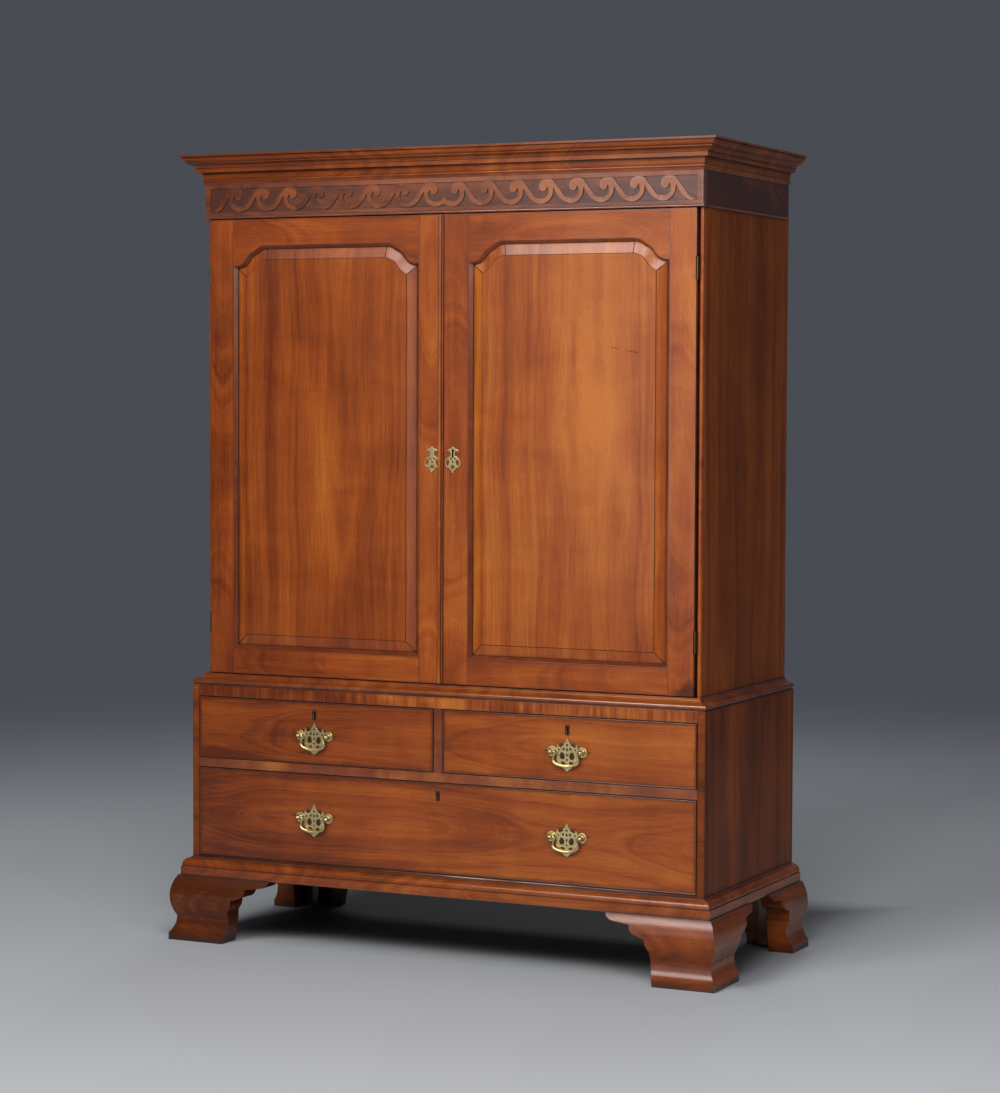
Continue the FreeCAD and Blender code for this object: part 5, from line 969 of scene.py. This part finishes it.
for side in SIDES:
    low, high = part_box(f"door_{side}_escutcheon")
    middle = (low[0] + high[0]) / 2
    spots = [(middle, low[1], z) for z in (high[2] - PIN_INSET, low[2] + PIN_INSET)]
    driven_in(f"door_{side}_escutcheon_pins", f"door_{side}", spots, (0, -1, 0), PIN,
              handle_brass)
    low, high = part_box(f"door_{side}_hinge_leaves")
    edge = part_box(f"door_{side}_frame")
    face, out = (edge[0][0], -1) if side == "left" else (edge[1][0], 1)
    spots = [(face, high[1] - SCREW_INSET, z + step)
             for z in (high[2] - LEAF_MIDDLE, low[2] + LEAF_MIDDLE) for step in SCREW_SPOTS]
    driven_in(f"door_{side}_hinge_screws", f"door_{side}", spots, (out, 0, 0), SCREW,
              hinge_brass)

nail_iron = metal("nail iron", (0.09, 0.08, 0.075), (0.035, 0.02, 0.014), gloss=0.6)
for node, rows in (("upper_back_boards", 3), ("base_back_boards", 2)):
    low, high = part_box(node)
    step_x = (high[0] - low[0] - 2 * NAIL_ASIDE) / (NAILS_ACROSS - 1)
    step_z = (high[2] - low[2] - 2 * NAIL_INSET) / (rows - 1)
    spots = [(low[0] + NAIL_ASIDE + step_x * i, high[1] - NAIL_RISE,
              low[2] + NAIL_INSET + step_z * row)
             for i in range(NAILS_ACROSS) for row in range(rows)]
    driven_in(f"{node}_nails", "cabinet", spots, (0, 1, 0), NAIL, nail_iron)

# ------------------------------------------------------------------------------
# The studio: a pale floor that fades away into a slate room, two soft lamps high before the
# piece, a soft screen, and weak lamps on its right and behind it.

FLOOR_RADIUS, PALE_RADIUS, FADED_RADIUS = 9.0, 2.2, 7.74
SHADED_X, SHADED_Y, SHADED_MIDDLE_Y = 0.60, 0.40, 0.36
room, wire, place = new_material("studio floor")
away = wire.lay("ShaderNodeVectorMath", {0: place}, operation="LENGTH").outputs["Value"]
away = wire.do("MULTIPLY_ADD", wire.noise(place, 0.8, 4.0, 0.6), 0.8, away)
colour = wire.ramp(wire.spread(away, 0.0, FLOOR_RADIUS), [
    (0.0, (0.40, 0.425, 0.455)), (0.30, (0.475, 0.505, 0.535)), (1.0, (0.35, 0.375, 0.405))])
# The floor is darkened under the press and just behind it, where hardly any light reaches.
east, north, _ = wire.axes(place)
beside = wire.do("SUBTRACT", wire.do("ABSOLUTE", east), SHADED_X)
behind = wire.do("SUBTRACT", wire.apart(north, SHADED_MIDDLE_Y), SHADED_Y)
deep = wire.spread(wire.do("MAXIMUM", beside, behind), -0.02, 0.27, 0.90, 0.0, "SMOOTHSTEP")
colour = wire.blend(deep, colour, (0.012, 0.013, 0.015))
solid = wire.spread(away, PALE_RADIUS, FADED_RADIUS, 1.0, 0.0, "SMOOTHERSTEP")
wire.finish({"Base Color": colour, "Roughness": 0.7, "Alpha": solid})
disc = bmesh.new()
bmesh.ops.create_circle(disc, cap_ends=True, segments=96, radius=FLOOR_RADIUS)
mesh = as_mesh(disc, "floor")
mesh.materials.append(room)
placed("studio_floor", mesh)

WARM, SIDE_TINT, SCREEN_TINT = (1.0, 0.985, 0.965), (1.0, 0.985, 0.97), (1.0, 0.98, 0.98)
# Where each lamp stands and points, its width, height, watts and tint.
for name, spot, aim, width, height, watts, tint in (
        ("high lamp", (-1.4, -5.4, 4.3), (0, 0, 1.0), 2.4, 2.0, 215, WARM),
        ("near lamp", (1.6, -3.5, 3.4), (0.1, 0, 0.9), 1.6, 1.6, 100, WARM),
        ("front screen", (-1.15, -5.6, 1.9), (0.2, 0, 1.1), 1.8, 3.0, 32, SCREEN_TINT),
        ("side lamp", (4.0, -3.3, 2.8), (0.7, 0, 0.9), 1.8, 1.8, 50, SIDE_TINT),
        ("back lamp", (-0.6, 4.8, 5.2), (0, 0, 0.9), 2.4, 2.4, 60, WARM)):
    lamp = bpy.data.lights.new(name, "AREA")
    lamp.shape = "RECTANGLE"
    lamp.size, lamp.size_y = width, height
    lamp.energy = watts
    lamp.color = tint
    stand = placed(name, lamp)
    stand.location = spot
    stand.rotation_mode = "QUATERNION"
    stand.rotation_quaternion = (Vector(aim) - Vector(spot)).to_track_quat("-Z", "Y")

world = bpy.data.worlds.new("studio")
world.use_nodes = True
slate = world.node_tree.nodes["Background"].inputs
slate["Color"].default_value = (0.066, 0.072, 0.085, 1)
slate["Strength"].default_value = 1.0
bpy.context.scene.world = world

FOCAL_PIXELS, LONG_SIDE_PIXELS = 2886.25, 1093.0
CAMERA_SPOT = (3.1885, -6.5788, 1.4003)
YAW, PITCH, ROLL = 25.63, -3.03, 0.22
camera = bpy.data.cameras.new("camera")
camera.sensor_width = 36.0
camera.lens = FOCAL_PIXELS * camera.sensor_width / LONG_SIDE_PIXELS
camera.clip_end = 60.0
viewer = placed("camera", camera)
yaw, pitch, roll = (math.radians(angle) for angle in (YAW, PITCH, ROLL))
ahead = Vector((-math.sin(yaw) * math.cos(pitch), math.cos(yaw) * math.cos(pitch),
                math.sin(pitch)))
level = Vector((math.cos(yaw), math.sin(yaw), 0))
upright = level.cross(ahead)
right = level * math.cos(roll) + upright * math.sin(roll)
up = upright * math.cos(roll) - level * math.sin(roll)
viewer.rotation_mode = "QUATERNION"
viewer.rotation_quaternion = Matrix((right, up, -ahead)).transposed().to_quaternion()
viewer.location = CAMERA_SPOT
bpy.context.scene.camera = viewer
bpy.context.scene.view_settings.view_transform = "Standard"
